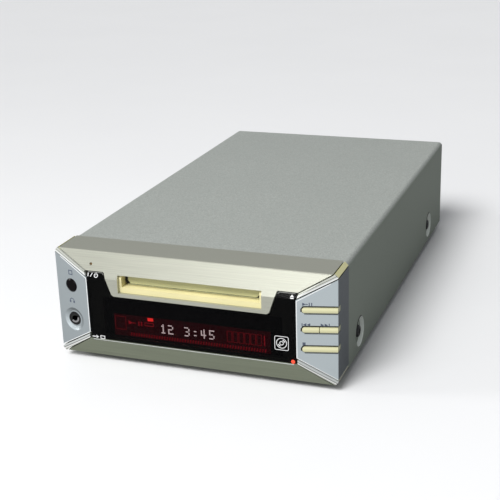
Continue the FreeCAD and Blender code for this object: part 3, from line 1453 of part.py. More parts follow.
def rack_teeth(body, line, meshes_at, module, low, high, before, after):
    """Teeth facing +X on a rack, with a gap at the point where its gear meshes."""
    step = module * math.pi
    first = meshes_at - step * (before - 0.5)
    shape = tooth_shape(line - module * 1.3, line, module)
    tooth = new_sketch(body, "XY", low)
    draw_polygon(tooth, [(x, first + y) for x, y in shape])
    item = pad(body, tooth, high - low)
    count = before + after
    repeat(body, item, "LinearPattern", Direction=(origin_axis(body, "Y"), [""]),
           Length=step * (count - 1), Occurrences=count)


def gear(label, x, y, teeth, module, low, high, turn, bore=None, shaft_to=None):
    """Spur gear on its own axis; turn is the angle of its first tooth in degrees."""
    body = deck_body(label, x, y)
    pitch = module * teeth / 2
    root = pitch - module * 1.1
    rim = new_sketch(body, "XY", low)
    draw_circle(rim, 0, 0, root)
    if bore:
        draw_circle(rim, 0, 0, bore)
    pad(body, rim, high - low)
    cosine = math.cos(math.radians(turn))
    sine = math.sin(math.radians(turn))
    tooth = new_sketch(body, "XY", low)
    draw_polygon(tooth, [(px * cosine - py * sine, px * sine + py * cosine)
                         for px, py in tooth_shape(root - 0.3, pitch, module)])
    item = pad(body, tooth, high - low)
    repeat(body, item, "PolarPattern", Axis=(origin_axis(body, "Z"), [""]), Angle=360.0, Occurrences=teeth)
    if shaft_to:
        add_post(body, 0, 0, SHAFT, shaft_to, low + 0.5)
    return body


def drive_gears():
    load = D.loading_module
    gear("loading_gear", LOAD_X, LOAD_Y, LOAD_TEETH, load, LOAD_LOW, LOAD_HIGH, 0, bore=GEAR_PIN + 0.1)
    gear("loading_pinion", LOAD_X + load * (LOAD_TEETH + LOAD_PINION) / 2, LOAD_Y, LOAD_PINION, load,
         LOAD_LOW, LOAD_HIGH, 180 / LOAD_PINION, shaft_to=-12.0)
    sled = D.sled_module
    gear_x = RACK_LINE + sled * SLED_TEETH / 2
    gear("sled_gear", gear_x, SLED_Y, SLED_TEETH, sled, SLED_LOW, SLED_HIGH, 0, bore=GEAR_PIN + 0.1)
    gear("sled_pinion", gear_x + sled * (SLED_TEETH + SLED_PINION) / 2, SLED_Y, SLED_PINION, sled,
         SLED_LOW, SLED_HIGH, 180 / SLED_PINION, shaft_to=-17.0)


def small_motor(label, x, y, flange, seat, low, radius):
    """Can motor hung under two posts by its flange, bored for its shaft."""
    body = deck_body(label)
    add_block(body, flange[0], flange[1], flange[2], flange[3], seat - 1, seat)
    add_post(body, x, y, radius, low, seat - 0.5)
    cut_hole(body, x, y, SHAFT + 0.3, low + 1, seat + 1)
    return body


def motors():
    load_x = LOAD_X + D.loading_module * (LOAD_TEETH + LOAD_PINION) / 2
    small_motor("loading_motor", load_x, LOAD_Y, (-29.5, -12.6, -16.5, -0.4), LOAD_SEAT, -16.0, 6.5)
    sled_x = RACK_LINE + D.sled_module * (2 * SLED_TEETH + SLED_PINION) / 2
    small_motor("sled_motor", sled_x, SLED_Y, (27.5, 37.5, 19.5, 40.5), SLED_SEAT, -20.0, 6.0)
    spindle = deck_body("spindle_motor")
    add_post(spindle, 0, 0, 9.8, -7.2, -D.deck_sheet)
    cut_hole(spindle, 0, 0, SHAFT + 0.3, -6.6, 0)


def turntable():
    """Spindle shaft, disc table and centring hub in one."""
    body = deck_body("turntable")
    profile = new_sketch(body, "XZ")
    draw_polygon(profile, [
        (0, -6.2), (SHAFT, -6.2), (SHAFT, 3.4), (8.5, 3.4), (8.5, 4.4), (5.0, 4.4), (5.0, 5.3),
        (4.2, 6.0), (0, 6.0),
    ])
    revolve(body, profile, "V_Axis")
    return body


def optical_pickup():
    """Laser block on its guide rods, with its rack and the column of the record head."""
    body = deck_body("optical_pickup")
    add_block(body, -15.5, 15.5, 10.6, 35.0, SLED_LOW, -2.0)
    add_block(body, -8.0, 8.0, 10.6, 26.0, -3.0, 1.0)
    add_post(body, 0, D.lens_radius, 3.0, 0.0, 2.4)
    cut_hole(body, 0, D.lens_radius, 1.7, 1.7, 4.0)
    rod = D.rod_half
    add_block(body, -rod - 3, -15.0, 12.0, 33.0, -8.0, -3.0)
    add_block(body, 15.0, rod + 3, 18.0, 28.0, -8.0, -3.0)
    clear = D.rod_diameter / 2 + 0.3
    bearings = new_sketch(body, "XZ", -9)
    draw_circle(bearings, -rod, ROD_Z, clear)
    draw_box(bearings, rod - clear, rod + 4, ROD_Z - clear, ROD_Z + clear)
    pocket(body, bearings, 60.0)
    module = D.sled_module
    add_block(body, 15.0, RACK_LINE - module * 1.1, 11.0, 34.0, SLED_LOW, SLED_HIGH)
    rack_teeth(body, RACK_LINE, SLED_Y, module, SLED_LOW, SLED_HIGH, 12, 2)
    add_block(body, -5.0, 5.0, 34.0, 44.0, SLED_LOW, -7.0)
    add_block(body, -5.0, 5.0, 40.0, 44.0, -8.0, ARM_Z - 2)
    for x in (-5.0, 3.5):
        add_block(body, x, x + 1.5, 40.0, 44.0, ARM_Z - 3, ARM_Z + 1.5)
    hinge = new_sketch(body, "YZ", -8)
    draw_circle(hinge, ARM_Y, ARM_Z, ARM_PIN + 0.1)
    pocket(body, hinge, 16.0, reverse=True)
    return body


ARM_Y = 42.0
ARM_Z = 16.5
ARM_PIN = 0.7


def record_head_arm():
    """Sprung arm with the magnetic head that reaches through the holder's roof."""
    body = deck_body("record_head_arm")
    knuckle = new_sketch(body, "YZ")
    draw_circle(knuckle, ARM_Y, ARM_Z, 1.5)
    pad(body, knuckle, 6.2, middle=True)
    pin = new_sketch(body, "YZ")
    draw_circle(pin, ARM_Y, ARM_Z, ARM_PIN)
    pad(body, pin, 10.0, middle=True)
    front = D.lens_radius - 3
    add_block(body, -3.1, 3.1, front, ARM_Y, ARM_Z - 0.4, ARM_Z + 0.4)
    add_block(body, -2.8, 2.8, front, front + 6, ARM_Z - 2.4, ARM_Z)
    return body


def mechanism_rest():
    """Guide rods, rubber dampers and the screws through them."""
    rods = deck_body("guide_rods")
    sketch = new_sketch(rods, "XZ", -4)
    for side in (-1, 1):
        draw_circle(sketch, side * D.rod_half, ROD_Z, D.rod_diameter / 2)
    pad(rods, sketch, 62.8, reverse=True)
    dampers = deck_body("mechanism_dampers")
    screws = deck_body("mechanism_screws")
    sheet = D.deck_sheet
    spots = [(side * DAMPER_X, y) for side in (-1, 1) for y in DAMPER_Y]
    for target, low, high, outer, sides, hole in (
            (dampers, -sheet - DAMPER_HIGH, -sheet, 3.0, 8, DECK_SCREW + 0.1),
            (dampers, -sheet - 0.5, 0.5, 1.9, 8, DECK_SCREW + 0.1),
            (dampers, 0, 1, 3.0, 8, DECK_SCREW + 0.1),
            (screws, -8.0, 1.5, DECK_SCREW, 6, None), (screws, 1, 2.4, 2.6, 8, None)):
        ring = new_sketch(target, "XY", low)
        for x, y in spots:
            draw_prism(ring, x, y, outer, sides)
            if hole:
                draw_prism(ring, x, y, hole)
        pad(target, ring, high - low)


upper_front_plate()
lower_front_plate()
wing("left_wing", -1)
wing("right_wing", 1)
display_window()
for key_label, key_side, key_is_top in (
        ("power_button", -1, True), ("eject_button", 1, True),
        ("input_button", -1, False), ("record_button", 1, False)):
    corner_key(key_label, key_side, key_is_top)
half_gap = D.key_gap / 2
wing_key("play_button", 0, D.key_start, HALF, STEM_WIDE)
wing_key("previous_button", 1, D.key_start, D.key_split - half_gap, STEM_LEFT)
wing_key("next_button", 1, D.key_split + half_gap, HALF, STEM_RIGHT, rounded=False)
wing_key("stop_button", 2, D.key_start, HALF, STEM_WIDE)
front_frame()
slot_bezel()
slot_flap()
flap_spring()
display_parts()
corner_switches = [(CORNER_STEM_X, CORNER_STEM_HIGH), (CORNER_STEM_X, CORNER_STEM_LOW)]
switch_board("left_switch_board", -1, corner_switches)
switch_board("right_switch_board", 1, corner_switches + [
    (STEM_WIDE, KEY_ROWS[0]), (STEM_LEFT, KEY_ROWS[1]),
    (STEM_RIGHT, KEY_ROWS[1]), (STEM_WIDE, KEY_ROWS[2])])
left_ports()
standby_lamp()
top_cover()
casing_screws()
chassis_base()
feet()
rear_panel()
rear_jacks()
circuit_boards()
heat_sink()
transformer()
mechanism_bracket("left_bracket", -1)
mechanism_bracket("right_bracket", 1)
mechanism_chassis()
cartridge_holder()
cam_slider()
drive_gears()
motors()
turntable()
optical_pickup()
record_head_arm()
mechanism_rest()


def write_parts():
    DOC.recompute()
    for item in DOC.Objects:
        if "Invalid" in item.State or "Error" in item.State:
            raise RuntimeError("%s failed: %s" % (item.Label, item.State))
    os.makedirs("parts", exist_ok=True)
    for item in PARTS:
        shape = item.Shape
        if shape.isNull() or not shape.isValid() or not shape.Solids:
            raise RuntimeError("%s has no valid solid" % item.Label)
        shape.exportStep("parts/%s.step" % item.Label)
        print("%-22s solids %d volume %.0f" % (item.Label, len(shape.Solids), shape.Volume))


write_parts()
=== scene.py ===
import json
import math
import bmesh
import bpy
from mathutils import Matrix, Vector


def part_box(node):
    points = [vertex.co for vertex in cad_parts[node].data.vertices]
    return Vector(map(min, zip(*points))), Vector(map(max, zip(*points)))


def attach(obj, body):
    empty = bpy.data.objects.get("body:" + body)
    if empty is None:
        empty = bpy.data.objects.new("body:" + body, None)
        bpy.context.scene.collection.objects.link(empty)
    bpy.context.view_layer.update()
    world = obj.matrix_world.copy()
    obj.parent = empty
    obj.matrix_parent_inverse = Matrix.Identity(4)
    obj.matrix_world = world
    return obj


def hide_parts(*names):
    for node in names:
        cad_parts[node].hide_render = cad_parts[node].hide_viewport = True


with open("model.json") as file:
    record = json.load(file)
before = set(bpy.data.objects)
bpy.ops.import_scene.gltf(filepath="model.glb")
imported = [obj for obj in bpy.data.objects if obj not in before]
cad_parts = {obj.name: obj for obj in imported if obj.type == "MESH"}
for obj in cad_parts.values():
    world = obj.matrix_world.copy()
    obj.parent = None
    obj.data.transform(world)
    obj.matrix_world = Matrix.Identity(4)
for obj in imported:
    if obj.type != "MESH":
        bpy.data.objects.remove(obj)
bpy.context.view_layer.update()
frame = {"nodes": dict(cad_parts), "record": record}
NODES = frame["nodes"]
MM = 0.001

# ------------------------------------------------------------- the deck's own millimetres
# x runs from the middle, y back from the cover's front edge, z up from the casing's bottom.
EDGE, BOTTOM = (round(c / MM, 3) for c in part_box("top_cover")[0].yz)


def at(x, y, z):
    """A point of the row frame, in metres, from the deck's millimetres."""
    return Vector((x, EDGE + y, BOTTOM + z)) * MM


class Reach:
    """How far a node reaches at rest, in the deck's millimetres."""

    def __init__(self, node):
        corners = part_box(node)
        self.x0, self.x1 = (round(corner.x / MM, 3) for corner in corners)
        self.y0, self.y1 = (round(corner.y / MM - EDGE, 3) for corner in corners)
        self.z0, self.z1 = (round(corner.z / MM - BOTTOM, 3) for corner in corners)

    def middle(self):
        """x and z of the middle."""
        return (self.x0 + self.x1) / 2, (self.z0 + self.z1) / 2


COVER = Reach("top_cover")
WING = Reach("right_wing")
WINDOW = Reach("display_window")
TUBE = Reach("display_tube")
FLAP = Reach("slot_flap")
JACK = Reach("phones_jack")
WING_KEYS = {name: Reach(name + "_button") for name in ("play", "previous", "next", "stop")}
HALF = WING.x1          # half of the front's width
FACE_HALF = WING.x0     # half of its flat face's width
FACE_HIGH = 44.6        # top of the flat face
FACE_LOW = Reach("lower_front_plate").z1
RIM = 19.5              # from the cover's front edge forward to where the slopes begin
SLOPE = -WING.y0 - RIM  # from there forward to the flat face
EAR_LEAN = 0.39         # the window's ears lean back by this much per millimetre of height

# ------------------------------------------------------------------------------ materials
MATERIALS = {}          # under their names
WHITE = (1.0, 1.0, 1.0, 1.0)
BLACK = (0.0, 0.0, 0.0, 1.0)
EVEN = (1, 1, 1)
ALONG_X = (0.012, 1, 1)
ALONG_Z = (1, 1, 0.02)
FINE = 0.02 * MM        # depth of fine grain


def colour(red, green, blue):
    """Screen colour 0-255 to a linear one."""
    def linear(c):
        c /= 255.0
        return c / 12.92 if c <= 0.04045 else ((c + 0.055) / 1.055) ** 2.4
    return (linear(red), linear(green), linear(blue), 1.0)


def scaled(base, factor):
    """A colour times one factor, or one for each channel."""
    factors = factor if isinstance(factor, tuple) else (factor,) * 3
    return tuple(min(1.0, c * f) for c, f in zip(base, factors)) + (1.0,)


class Shader:
    """A Principled material with a few procedural helpers, kept in MATERIALS."""

    def __init__(self, name, base, rough=0.5, metal=0.0, specular=0.5):
        MATERIALS[name] = bpy.data.materials.new(name)
        MATERIALS[name].use_nodes = True
        self.tree = MATERIALS[name].node_tree
        self.bsdf = self.tree.nodes["Principled BSDF"]
        self.position = self.node("TexCoord").outputs["Object"]
        self.set("Base Color", base)
        self.set("Roughness", rough)
        self.set("Metallic", metal)
        self.set("Specular IOR Level", specular)

    def set(self, socket, value):
        self.bsdf.inputs[socket].default_value = value

    def node(self, kind, **settings):
        item = self.tree.nodes.new("ShaderNode" + kind)
        for key, value in settings.items():
            setattr(item, key, value)
        return item

    def link(self, a, b):
        self.tree.links.new(a, b)

    def stretched(self, stretch):
        item = self.node("Mapping")
        item.inputs["Scale"].default_value = stretch
        self.link(self.position, item.inputs["Vector"])
        return item.outputs["Vector"]

    def noise(self, scale, stretch=EVEN, detail=4.0, rough=0.5):
        item = self.node("TexNoise")
        item.inputs["Scale"].default_value = scale
        item.inputs["Detail"].default_value = detail
        item.inputs["Roughness"].default_value = rough
        self.link(self.stretched(stretch), item.inputs["Vector"])
        return item.outputs["Fac"]

    def cells(self, scale, stretch=EVEN, feature="F1", output="Distance"):
        item = self.node("TexVoronoi", feature=feature)
        item.inputs["Scale"].default_value = scale
        self.link(self.stretched(stretch), item.inputs["Vector"])
        return item.outputs[output]

    def ramp(self, source, stops):
        """Colours at places from 0 to 1, blended in between."""
        item = self.node("ValToRGB")
        elements = item.color_ramp.elements
        for index in (0, -1):
            elements[index].position, elements[index].color = stops[index]
        for place, value in stops[1:-1]:
            elements.new(place).color = value
        self.link(source, item.inputs["Fac"])
        return item.outputs["Color"]

    def mapped(self, source, start=0.3, end=0.7, low=0.0, high=1.0):
        """Runs from low to high while the source runs from start to end."""
        item = self.node("MapRange")
        for socket, value in (("From Min", start), ("From Max", end), ("To Min", low), ("To Max", high)):
            item.inputs[socket].default_value = value
        self.link(source, item.inputs["Value"])
        return item.outputs["Result"]

    def part(self, vector, axis):
        item = self.node("SeparateXYZ")
        self.link(vector, item.inputs["Vector"])
        return item.outputs[axis]

    def worked(self, kind, operation, source, second=None, output="Value"):
        """Result of a Math or VectorMath node, with a fixed second value where it takes one."""
        item = self.node(kind, operation=operation)
        self.link(source, item.inputs[0])
        if second is not None:
            item.inputs[1].default_value = second
        return item.outputs[output]

    def facing(self, axis):
        """1 on faces square to the axis, 0 on the others."""
        normal = self.node("NewGeometry").outputs["True Normal"]
        return self.mapped(self.worked("Math", "ABSOLUTE", self.part(normal, axis)), 0.85, 0.95)

    def blend(self, factor, a, b):
        item = self.node("Mix", data_type="RGBA")
        self.link(factor, item.inputs[0])
        for socket, value in ((item.inputs[6], a), (item.inputs[7], b)):
            if isinstance(value, bpy.types.NodeSocket):
                self.link(value, socket)
            else:
                socket.default_value = value
        return item.outputs[2]

    def base(self, source):
        self.link(source, self.bsdf.inputs["Base Color"])

    def rough(self, source, low, high):
        """Roughness from low to high, as the source runs from 0 to 1."""
        self.link(self.mapped(source, 0.0, 1.0, low, high), self.bsdf.inputs["Roughness"])

    def bump(self, source, strength, depth=FINE):
        item = self.node("Bump")
        item.inputs["Strength"].default_value = strength
        item.inputs["Distance"].default_value = depth
        self.link(source, item.inputs["Height"])
        self.link(item.outputs["Normal"], self.bsdf.inputs["Normal"])


def brushed(name, tone, rough, along=EVEN, metal=1.0, grain=0.12, top=1.0):
    """Metal with fine brushing along an axis; top scales the tone of the faces that look up, painted shade on
    them where it is below 1.
    """
    base = colour(*tone)
    s = Shader(name, base, rough, metal)
    hair = s.noise(2200, along, detail=4.0, rough=0.65)
    dark = scaled(base, 0.82)
    shade = s.blend(s.mapped(hair), dark, base)
    # Painted shade: faces that look up get a darker copy of the tone.
    if top < 1.0:
        level = s.blend(hair, scaled(dark, top), scaled(base, top))
        shade = s.blend(s.facing("Z"), shade, level)
    s.base(shade)
    s.rough(hair, rough - 0.07, rough + 0.1)
    s.bump(hair, grain)


def plastic(name, tone, rough, scale=2500, grain=0.15, drift=0.06, metal=0.0, specular=0.5):
    """Moulded plastic: fine spark-eroded grain and slow, faint colour drift."""
    base = colour(*tone)
    s = Shader(name, base, rough, metal, specular)
    slow = s.noise(35, detail=2.0)
    s.base(s.blend(s.mapped(slow), scaled(base, 1 - drift), scaled(base, 1 + drift)))
    fine = s.noise(scale, detail=2.0)
    s.rough(fine, rough - 0.05, rough + 0.07)
    s.bump(fine, grain)


def speckled_paint(name, tone, rough):
    """Silver powder coat: orange-peel surface and a few bright flakes, with painted shade, darker and
    greener, on the sides.
    """
    base = colour(*tone)
    s = Shader(name, base, rough, metal=0.25)
    peel = s.noise(1500, detail=3.0, rough=0.6)
    slow = s.noise(18, detail=3.0)
    mottled = s.blend(s.mapped(peel), scaled(base, 0.74), scaled(base, 1.22))
    level = s.blend(s.mapped(slow, 0.35, 0.65, 0.0, 0.25), mottled, scaled(base, 0.9))
    # Painted shade: faces that look sideways are darker and greener.
    side = s.blend(peel, scaled(base, (0.83, 0.89, 0.81)), scaled(base, (0.97, 1.04, 0.95)))
    shade = s.blend(s.facing("X"), level, side)
    flakes = s.ramp(s.cells(1400), [(0.0, WHITE), (0.10, BLACK)])
    s.base(s.blend(flakes, shade, colour(225, 228, 222)))
    s.rough(peel, rough - 0.08, rough + 0.1)
    s.bump(peel, 0.25, 2 * FINE)


def sheet_steel(name, tone, rough):
    """Zinc-plated sheet: faint spangle, rolling lines."""
    base = colour(*tone)
    s = Shader(name, base, rough, metal=0.9)
    tint = s.node("SeparateColor")
    s.link(s.cells(160, output="Color"), tint.inputs["Color"])
    s.base(s.blend(tint.outputs["Red"], scaled(base, 0.86), base))
    lines = s.noise(500, (1, 0.04, 1))
    s.rough(lines, rough - 0.08, rough + 0.1)
    s.bump(lines, 0.08)


def circuit(name, tone, track):
    """Board with a lacquered pattern of tracks."""
    base = colour(*tone)
    s = Shader(name, base, rough=0.35)
    tracks = s.cells(260, (1, 1.4, 1), feature="DISTANCE_TO_EDGE")
    s.base(s.blend(s.ramp(tracks, [(0.03, WHITE), (0.07, BLACK)]), base, colour(*track)))
    s.bump(tracks, 0.1, 1.5 * FINE)


def glowing(name, tone, strength, drift=0.25, scale=900):
    """Lit phosphor or lamp, its glow a little uneven."""
    base = colour(*tone)
    s = Shader(name, scaled(base, 0.3), rough=0.4)
    s.set("Emission Color", base)
    uneven = s.mapped(s.noise(scale, detail=2.0), low=strength * (1 - drift), high=strength * (1 + drift))
    s.link(uneven, s.bsdf.inputs["Emission Strength"])


def flake_paint(name, tone, rough, slanted, side):
    """Metallic paint with fine flakes; slanted and side scale it at a slant and on the sides, painted shade
    where they are below 1.
    """
    base = colour(*tone)
    s = Shader(name, base, rough, metal=0.45)
    slant = s.node("LayerWeight")
    slant.inputs["Blend"].default_value = 0.5
    # Painted shade: darker where the face is seen at a slant, and darker still on faces that look sideways.
    front = s.blend(s.mapped(slant.outputs["Facing"], 0.05, 0.5), base, scaled(base, slanted))
    shade = s.blend(s.facing("X"), front, scaled(base, side))
    flakes = s.mapped(s.cells(3000), 0.25, 0.0, 0.0, 0.12)
    s.base(s.blend(flakes, shade, colour(236, 240, 244)))
    fine = s.noise(3500, detail=2.0)
    s.rough(fine, rough - 0.05, rough + 0.06)
    s.bump(fine, 0.07)


def smoked(name, tone):
    """Smoked acrylic: dark gloss that lets a lit display show."""
    s = Shader(name, colour(*tone), specular=0.1)
    s.set("Alpha", 0.72)
    s.rough(s.noise(60, detail=3.0), 0.08, 0.13)
    s.bump(s.noise(25, detail=1.0), 0.02, 0.1 * MM)


KEY_ROUGH = 0.25
KEY_SPLIT = -18.95      # y where the corner keys' silver front meets their pale back
SPLIT_BLUR = 0.1


def corner_key(name, silver, pale, across, start, width, bands):
    """Plated corner key: silver front with bands of painted highlight and painted shade along it, as for
    ridges, and a pale back.

    The bands of tone are laid across the key. across is their direction, as x and z,
    mirrored for the left side. In millimetres, start is where they begin and width how wide
    they run together. Each band has its place, from 0 to 1, and its tone.
    """
    s = Shader(name, colour(*silver), KEY_ROUGH, metal=0.3)
    split = EDGE + KEY_SPLIT
    y = s.part(s.position, "Y")
    behind = s.mapped(y, (split - SPLIT_BLUR) * MM, (split + SPLIT_BLUR) * MM)
    mirrored = s.worked("VectorMath", "ABSOLUTE", s.position, output="Vector")
    along = s.worked("VectorMath", "DOT_PRODUCT", mirrored, (across[0], 0.0, across[1]))
    # Painted highlight and painted shade as bands of tone across the key's front.
    band_place = s.mapped(along, start * MM, (start + width) * MM)
    front = s.ramp(band_place, [(place, colour(*tone)) for place, tone in bands])
    back = s.blend(s.noise(60, detail=2.0), colour(*pale), scaled(colour(*pale), 0.93))
    s.base(s.blend(behind, front, back))
    s.bump(s.noise(3500, detail=2.0), 0.05)


# Places up a wing key, from 0 to 1, and how its tone is scaled there: painted shade low down, painted
# highlight in the upper part.
KEY_PAINTED_SHADING = ((0.0, 0.62), (0.16, 0.86), (0.4, 0.95), (0.62, 1.1), (0.82, 1.12), (0.92, 0.98), (1.0, 0.8))


def wing_key(name, tone):
    """Rows of rounded keys, each with a painted highlight along its top and painted shade underneath."""
    base = colour(*tone)
    s = Shader(name, base, rough=0.3)
    lowest, next_up = WING_KEYS["stop"], WING_KEYS["next"]
    above = s.worked("Math", "SUBTRACT", s.part(s.position, "Z"), (BOTTOM + lowest.z0) * MM)
    within = s.worked("Math", "MODULO", above, (next_up.z0 - lowest.z0) * MM)
    height = s.mapped(within, 0.0, (lowest.z1 - lowest.z0) * MM)
    s.base(s.ramp(height, [(place, scaled(base, factor)) for place, factor in KEY_PAINTED_SHADING]))
    s.bump(s.noise(3500, detail=2.0), 0.05)


def front_finishes():
    # Painted shade: the front metal's faces that look up, such as the top strip, at 0.68 of its tone.
    brushed("front_metal", (208, 209, 194), 0.3, ALONG_X, metal=0.55, top=0.68)
    # Painted shade: the lower plate's darker, greener copy of the front metal, for a face that looks down.
    brushed("lower_metal_shaded", (172, 179, 157), 0.36, ALONG_X, metal=0.6)
    brushed("frame_metal", (188, 189, 172), 0.32, ALONG_X, metal=0.7)
    # Painted shade on the wings: 0.42 of the tone at a slant, 0.29 to 0.31 on the sides.
    flake_paint("wing_paint", (210, 220, 224), 0.4, slanted=0.42, side=(0.29, 0.29, 0.31))
    # Upper corner keys: bands of painted highlight and painted shade.
    upper = [(0.0, (250, 251, 248)), (0.2, (252, 252, 250)), (0.27, (214, 217, 214)),
             (0.5, (214, 217, 212)), (0.56, (128, 130, 116)), (0.66, (136, 138, 124)),
             (0.72, (206, 208, 200)), (1.0, (212, 214, 206))]
    corner_key("upper_key", (236, 238, 234), (236, 231, 176), (-0.477, 0.879), 16.18, 1.9, upper)
    # Lower corner keys: bands of painted highlight and painted shade.
    lower = [(0.0, (150, 152, 138)), (0.1, (196, 198, 190)), (0.24, (206, 209, 203)),
             (0.3, (254, 254, 252)), (0.46, (254, 254, 252)), (0.52, (126, 130, 126)),
             (0.62, (132, 136, 132)), (0.7, (206, 210, 208)), (1.0, (214, 218, 216))]
    corner_key("lower_key", (236, 238, 234), (222, 222, 200), (0.5048, 0.8636), 40.4, 2.38, lower)
    wing_key("key_light", (222, 219, 177))
    plastic("bezel_cream", (228, 219, 168), 0.38, 3500, grain=0.06, drift=0.05)
    plastic("flap_grey", (206, 207, 164), 0.34, grain=0.06, drift=0.05)
    smoked("smoked_window", (4, 4, 5))
    plastic("sensor_lens", (9, 6, 8), 0.25, 3500, grain=0.01, drift=0.05, specular=0.12)
    plastic("clear_plastic", (120, 96, 62), 0.3, 3500, grain=0.02, drift=0.03)
    plastic("tube_glass", (20, 12, 14), 0.2, 2000, grain=0.02, drift=0.08)


def casing_finishes():
    speckled_paint("cover_paint", (164, 168, 163), 0.5)
    speckled_paint("black_sheet", (42, 42, 44), 0.5)
    sheet_steel("zinc_steel", (196, 198, 196), 0.38)
    sheet_steel("mech_steel", (186, 188, 190), 0.34)
    brushed("screw_steel", (200, 198, 190), 0.26, grain=0.05)
    brushed("screw_black", (72, 72, 74), 0.26, grain=0.05)
    brushed("spring_steel", (190, 190, 190), 0.3, grain=0.05)
    brushed("motor_steel", (195, 196, 198), 0.28, ALONG_Z)
    brushed("gold_plate", (214, 176, 92), 0.24, grain=0.04)
    brushed("sink_alloy", (180, 182, 184), 0.4, ALONG_Z)
    brushed("pickup_alloy", (120, 122, 126), 0.45)
    plastic("foot_rubber", (34, 34, 35), 0.8, 1800, grain=0.3, drift=0.1)
    plastic("black_plastic", (22, 22, 24), 0.42, drift=0.1)
    plastic("mech_black", (36, 36, 40), 0.4, grain=0.12, drift=0.08)
    plastic("gear_nylon", (228, 226, 214), 0.36, grain=0.06, drift=0.03)
    plastic("core_iron", (84, 66, 52), 0.5, 700, grain=0.3, drift=0.15, metal=0.3)
    circuit("board_fibre", (26, 74, 42), (52, 116, 66))
    circuit("board_paper", (168, 128, 74), (142, 104, 56))


def trim_finishes():
    plastic("mark_grey", (84, 92, 108), 0.5)
    plastic("mark_white", (228, 228, 228), 0.5)
    # Painted highlight for bright edges: the wings' rims and the edge below the window.
    plastic("painted_rim_highlight", (244, 246, 246), 0.3)
    # Painted glint on the top of the window's ears.
    plastic("painted_ear_glint", (118, 119, 114), 0.3)
    # Painted shade: round the wing keys, at the upper front edge of the dishes and in the phones jack's
    # mouth.
    plastic("painted_shade_dark", (34, 36, 34), 0.6)
    # Painted shade in the slits round the flap.
    plastic("painted_slit_shade", (10, 10, 8), 0.7)
    # Painted highlight on the walls of the cover's dishes.
    plastic("painted_dish_highlight", (244, 250, 242), 0.45)
    plastic("insulator_white", (224, 224, 218), 0.35)
    plastic("insulator_red", (176, 26, 24), 0.35)
    brushed("chrome", (232, 232, 234), 0.12, grain=0.02)
    glowing("lamp_red", (255, 84, 58), 1.0, 0.1)
    glowing("glow_panel", (124, 10, 30), 0.62, 0.35, 420)
    glowing("glow_dim", (220, 26, 44), 2.6)
    glowing("glow_red", (255, 48, 44), 8.0)
    glowing("glow_text", (240, 218, 218), 7.5, 0.12)


front_finishes()
casing_finishes()
trim_finishes()

# ----------------------------------------------------------------------- the CAD's nodes
FINISH_OF = {item["node"]: item["material_slot"] for item in frame["record"]["subparts"]}
# The lower plate gets a darker copy of the front metal, painted shade; the corner keys get materials with
# bands of painted highlight and painted shade.
FINISH_OF.update(lower_front_plate="lower_metal_shaded", front_frame="frame_metal",
                 power_button="upper_key", eject_button="upper_key",
                 input_button="lower_key", record_button="lower_key")
for node, obj in NODES.items():
    obj.data.materials.clear()
    obj.data.materials.append(MATERIALS[FINISH_OF[node]])

# Widths of softened edges, and the nodes that show them.
SOFT_EDGES = {
    0.12: ("upper_front_plate", "lower_front_plate", "left_wing", "right_wing"),
    0.15: ("slot_bezel", "slot_flap", "phones_jack"),
    0.2: ("line_jack_shells",),
    0.25: ("optical_jacks",),
    0.3: ("play_button", "previous_button", "next_button", "stop_button", "power_inlet"),
    0.4: ("power_button", "eject_button", "input_button", "record_button"),
    0.6: ("feet",),
}
for width, nodes in SOFT_EDGES.items():
    for node in nodes:
        bevel = NODES[node].modifiers.new("soft_edges", "BEVEL")
        bevel.width = width * MM
        bevel.segments = 2
        bevel.limit_method = "ANGLE"
        bevel.angle_limit = math.radians(35)
        bevel.harden_normals = False


# -------------------------------------------------------------------------- new pieces
def show(name, work, finish):
    """Makes a bmesh into a shown object."""
    bmesh.ops.recalc_face_normals(work, faces=work.faces)
    mesh = bpy.data.meshes.new(name)
    work.to_mesh(mesh)
    work.free()
    mesh.materials.append(MATERIALS[finish])
    obj = bpy.data.objects.new(name, mesh)
    bpy.context.scene.collection.objects.link(obj)
    return obj


def piece(name, verts, faces, finish, body="casing", smooth=False):
    work = bmesh.new()
    corners = [work.verts.new(vert) for vert in verts]
    for face in faces:
        work.faces.new([corners[index] for index in face]).smooth = smooth
    bmesh.ops.remove_doubles(work, verts=work.verts, dist=1e-7)
    obj = show(name, work, finish)
    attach(obj, body)


# Surfaces: each gives the point at x and z, lifted off the surface.
def on_window(x, z, lift):
    """A point on the window's face, or on the ears that lean back above it."""
    return at(x, WINDOW.y0 + EAR_LEAN * max(0.0, z - FACE_HIGH) - lift, z)


def on_lower(x, z, lift):
    """A point on the sloped lower plate."""
    out = Vector((0, -FACE_LOW, -SLOPE)).normalized()
    return at(x, -RIM - SLOPE * z / FACE_LOW, z) + out * lift * MM


def on_wing(x, z, lift):
    """A point on a wing's sloped face."""
    run = HALF - FACE_HALF
    out = Vector((math.copysign(SLOPE, x), -run, 0)).normalized()
    return at(x, -RIM - SLOPE * (HALF - abs(x)) / run, z) + out * lift * MM


def flat(y, out=-1):
    """A surface square to y that looks forward, or back with out=1."""
    return lambda x, z, lift: at(x, y + out * lift, z)


def print_on(name, surface, shapes, finish, body="casing", lift=0.03, sink=0.05):
    """Flat printed shapes, each a list of (x, z), as thin solid film on a surface."""
    verts = []
    faces = []
    for shape in shapes:
        start = len(verts)
        count = len(shape)
        for height in (lift, -sink):
            verts += [surface(x, z, height) for x, z in shape]
        faces.append(list(range(start, start + count)))
        faces.append(list(range(start + 2 * count - 1, start + count - 1, -1)))
        for i in range(start, start + count):
            j = start + (i + 1 - start) % count
            faces.append([i, count + i, count + j, j])
    piece(name, verts, faces, finish, body)


# Shapes, as x and z in millimetres.
def rect(x0, x1, z0, z1):
    return [(x0, z0), (x1, z0), (x1, z1), (x0, z1)]


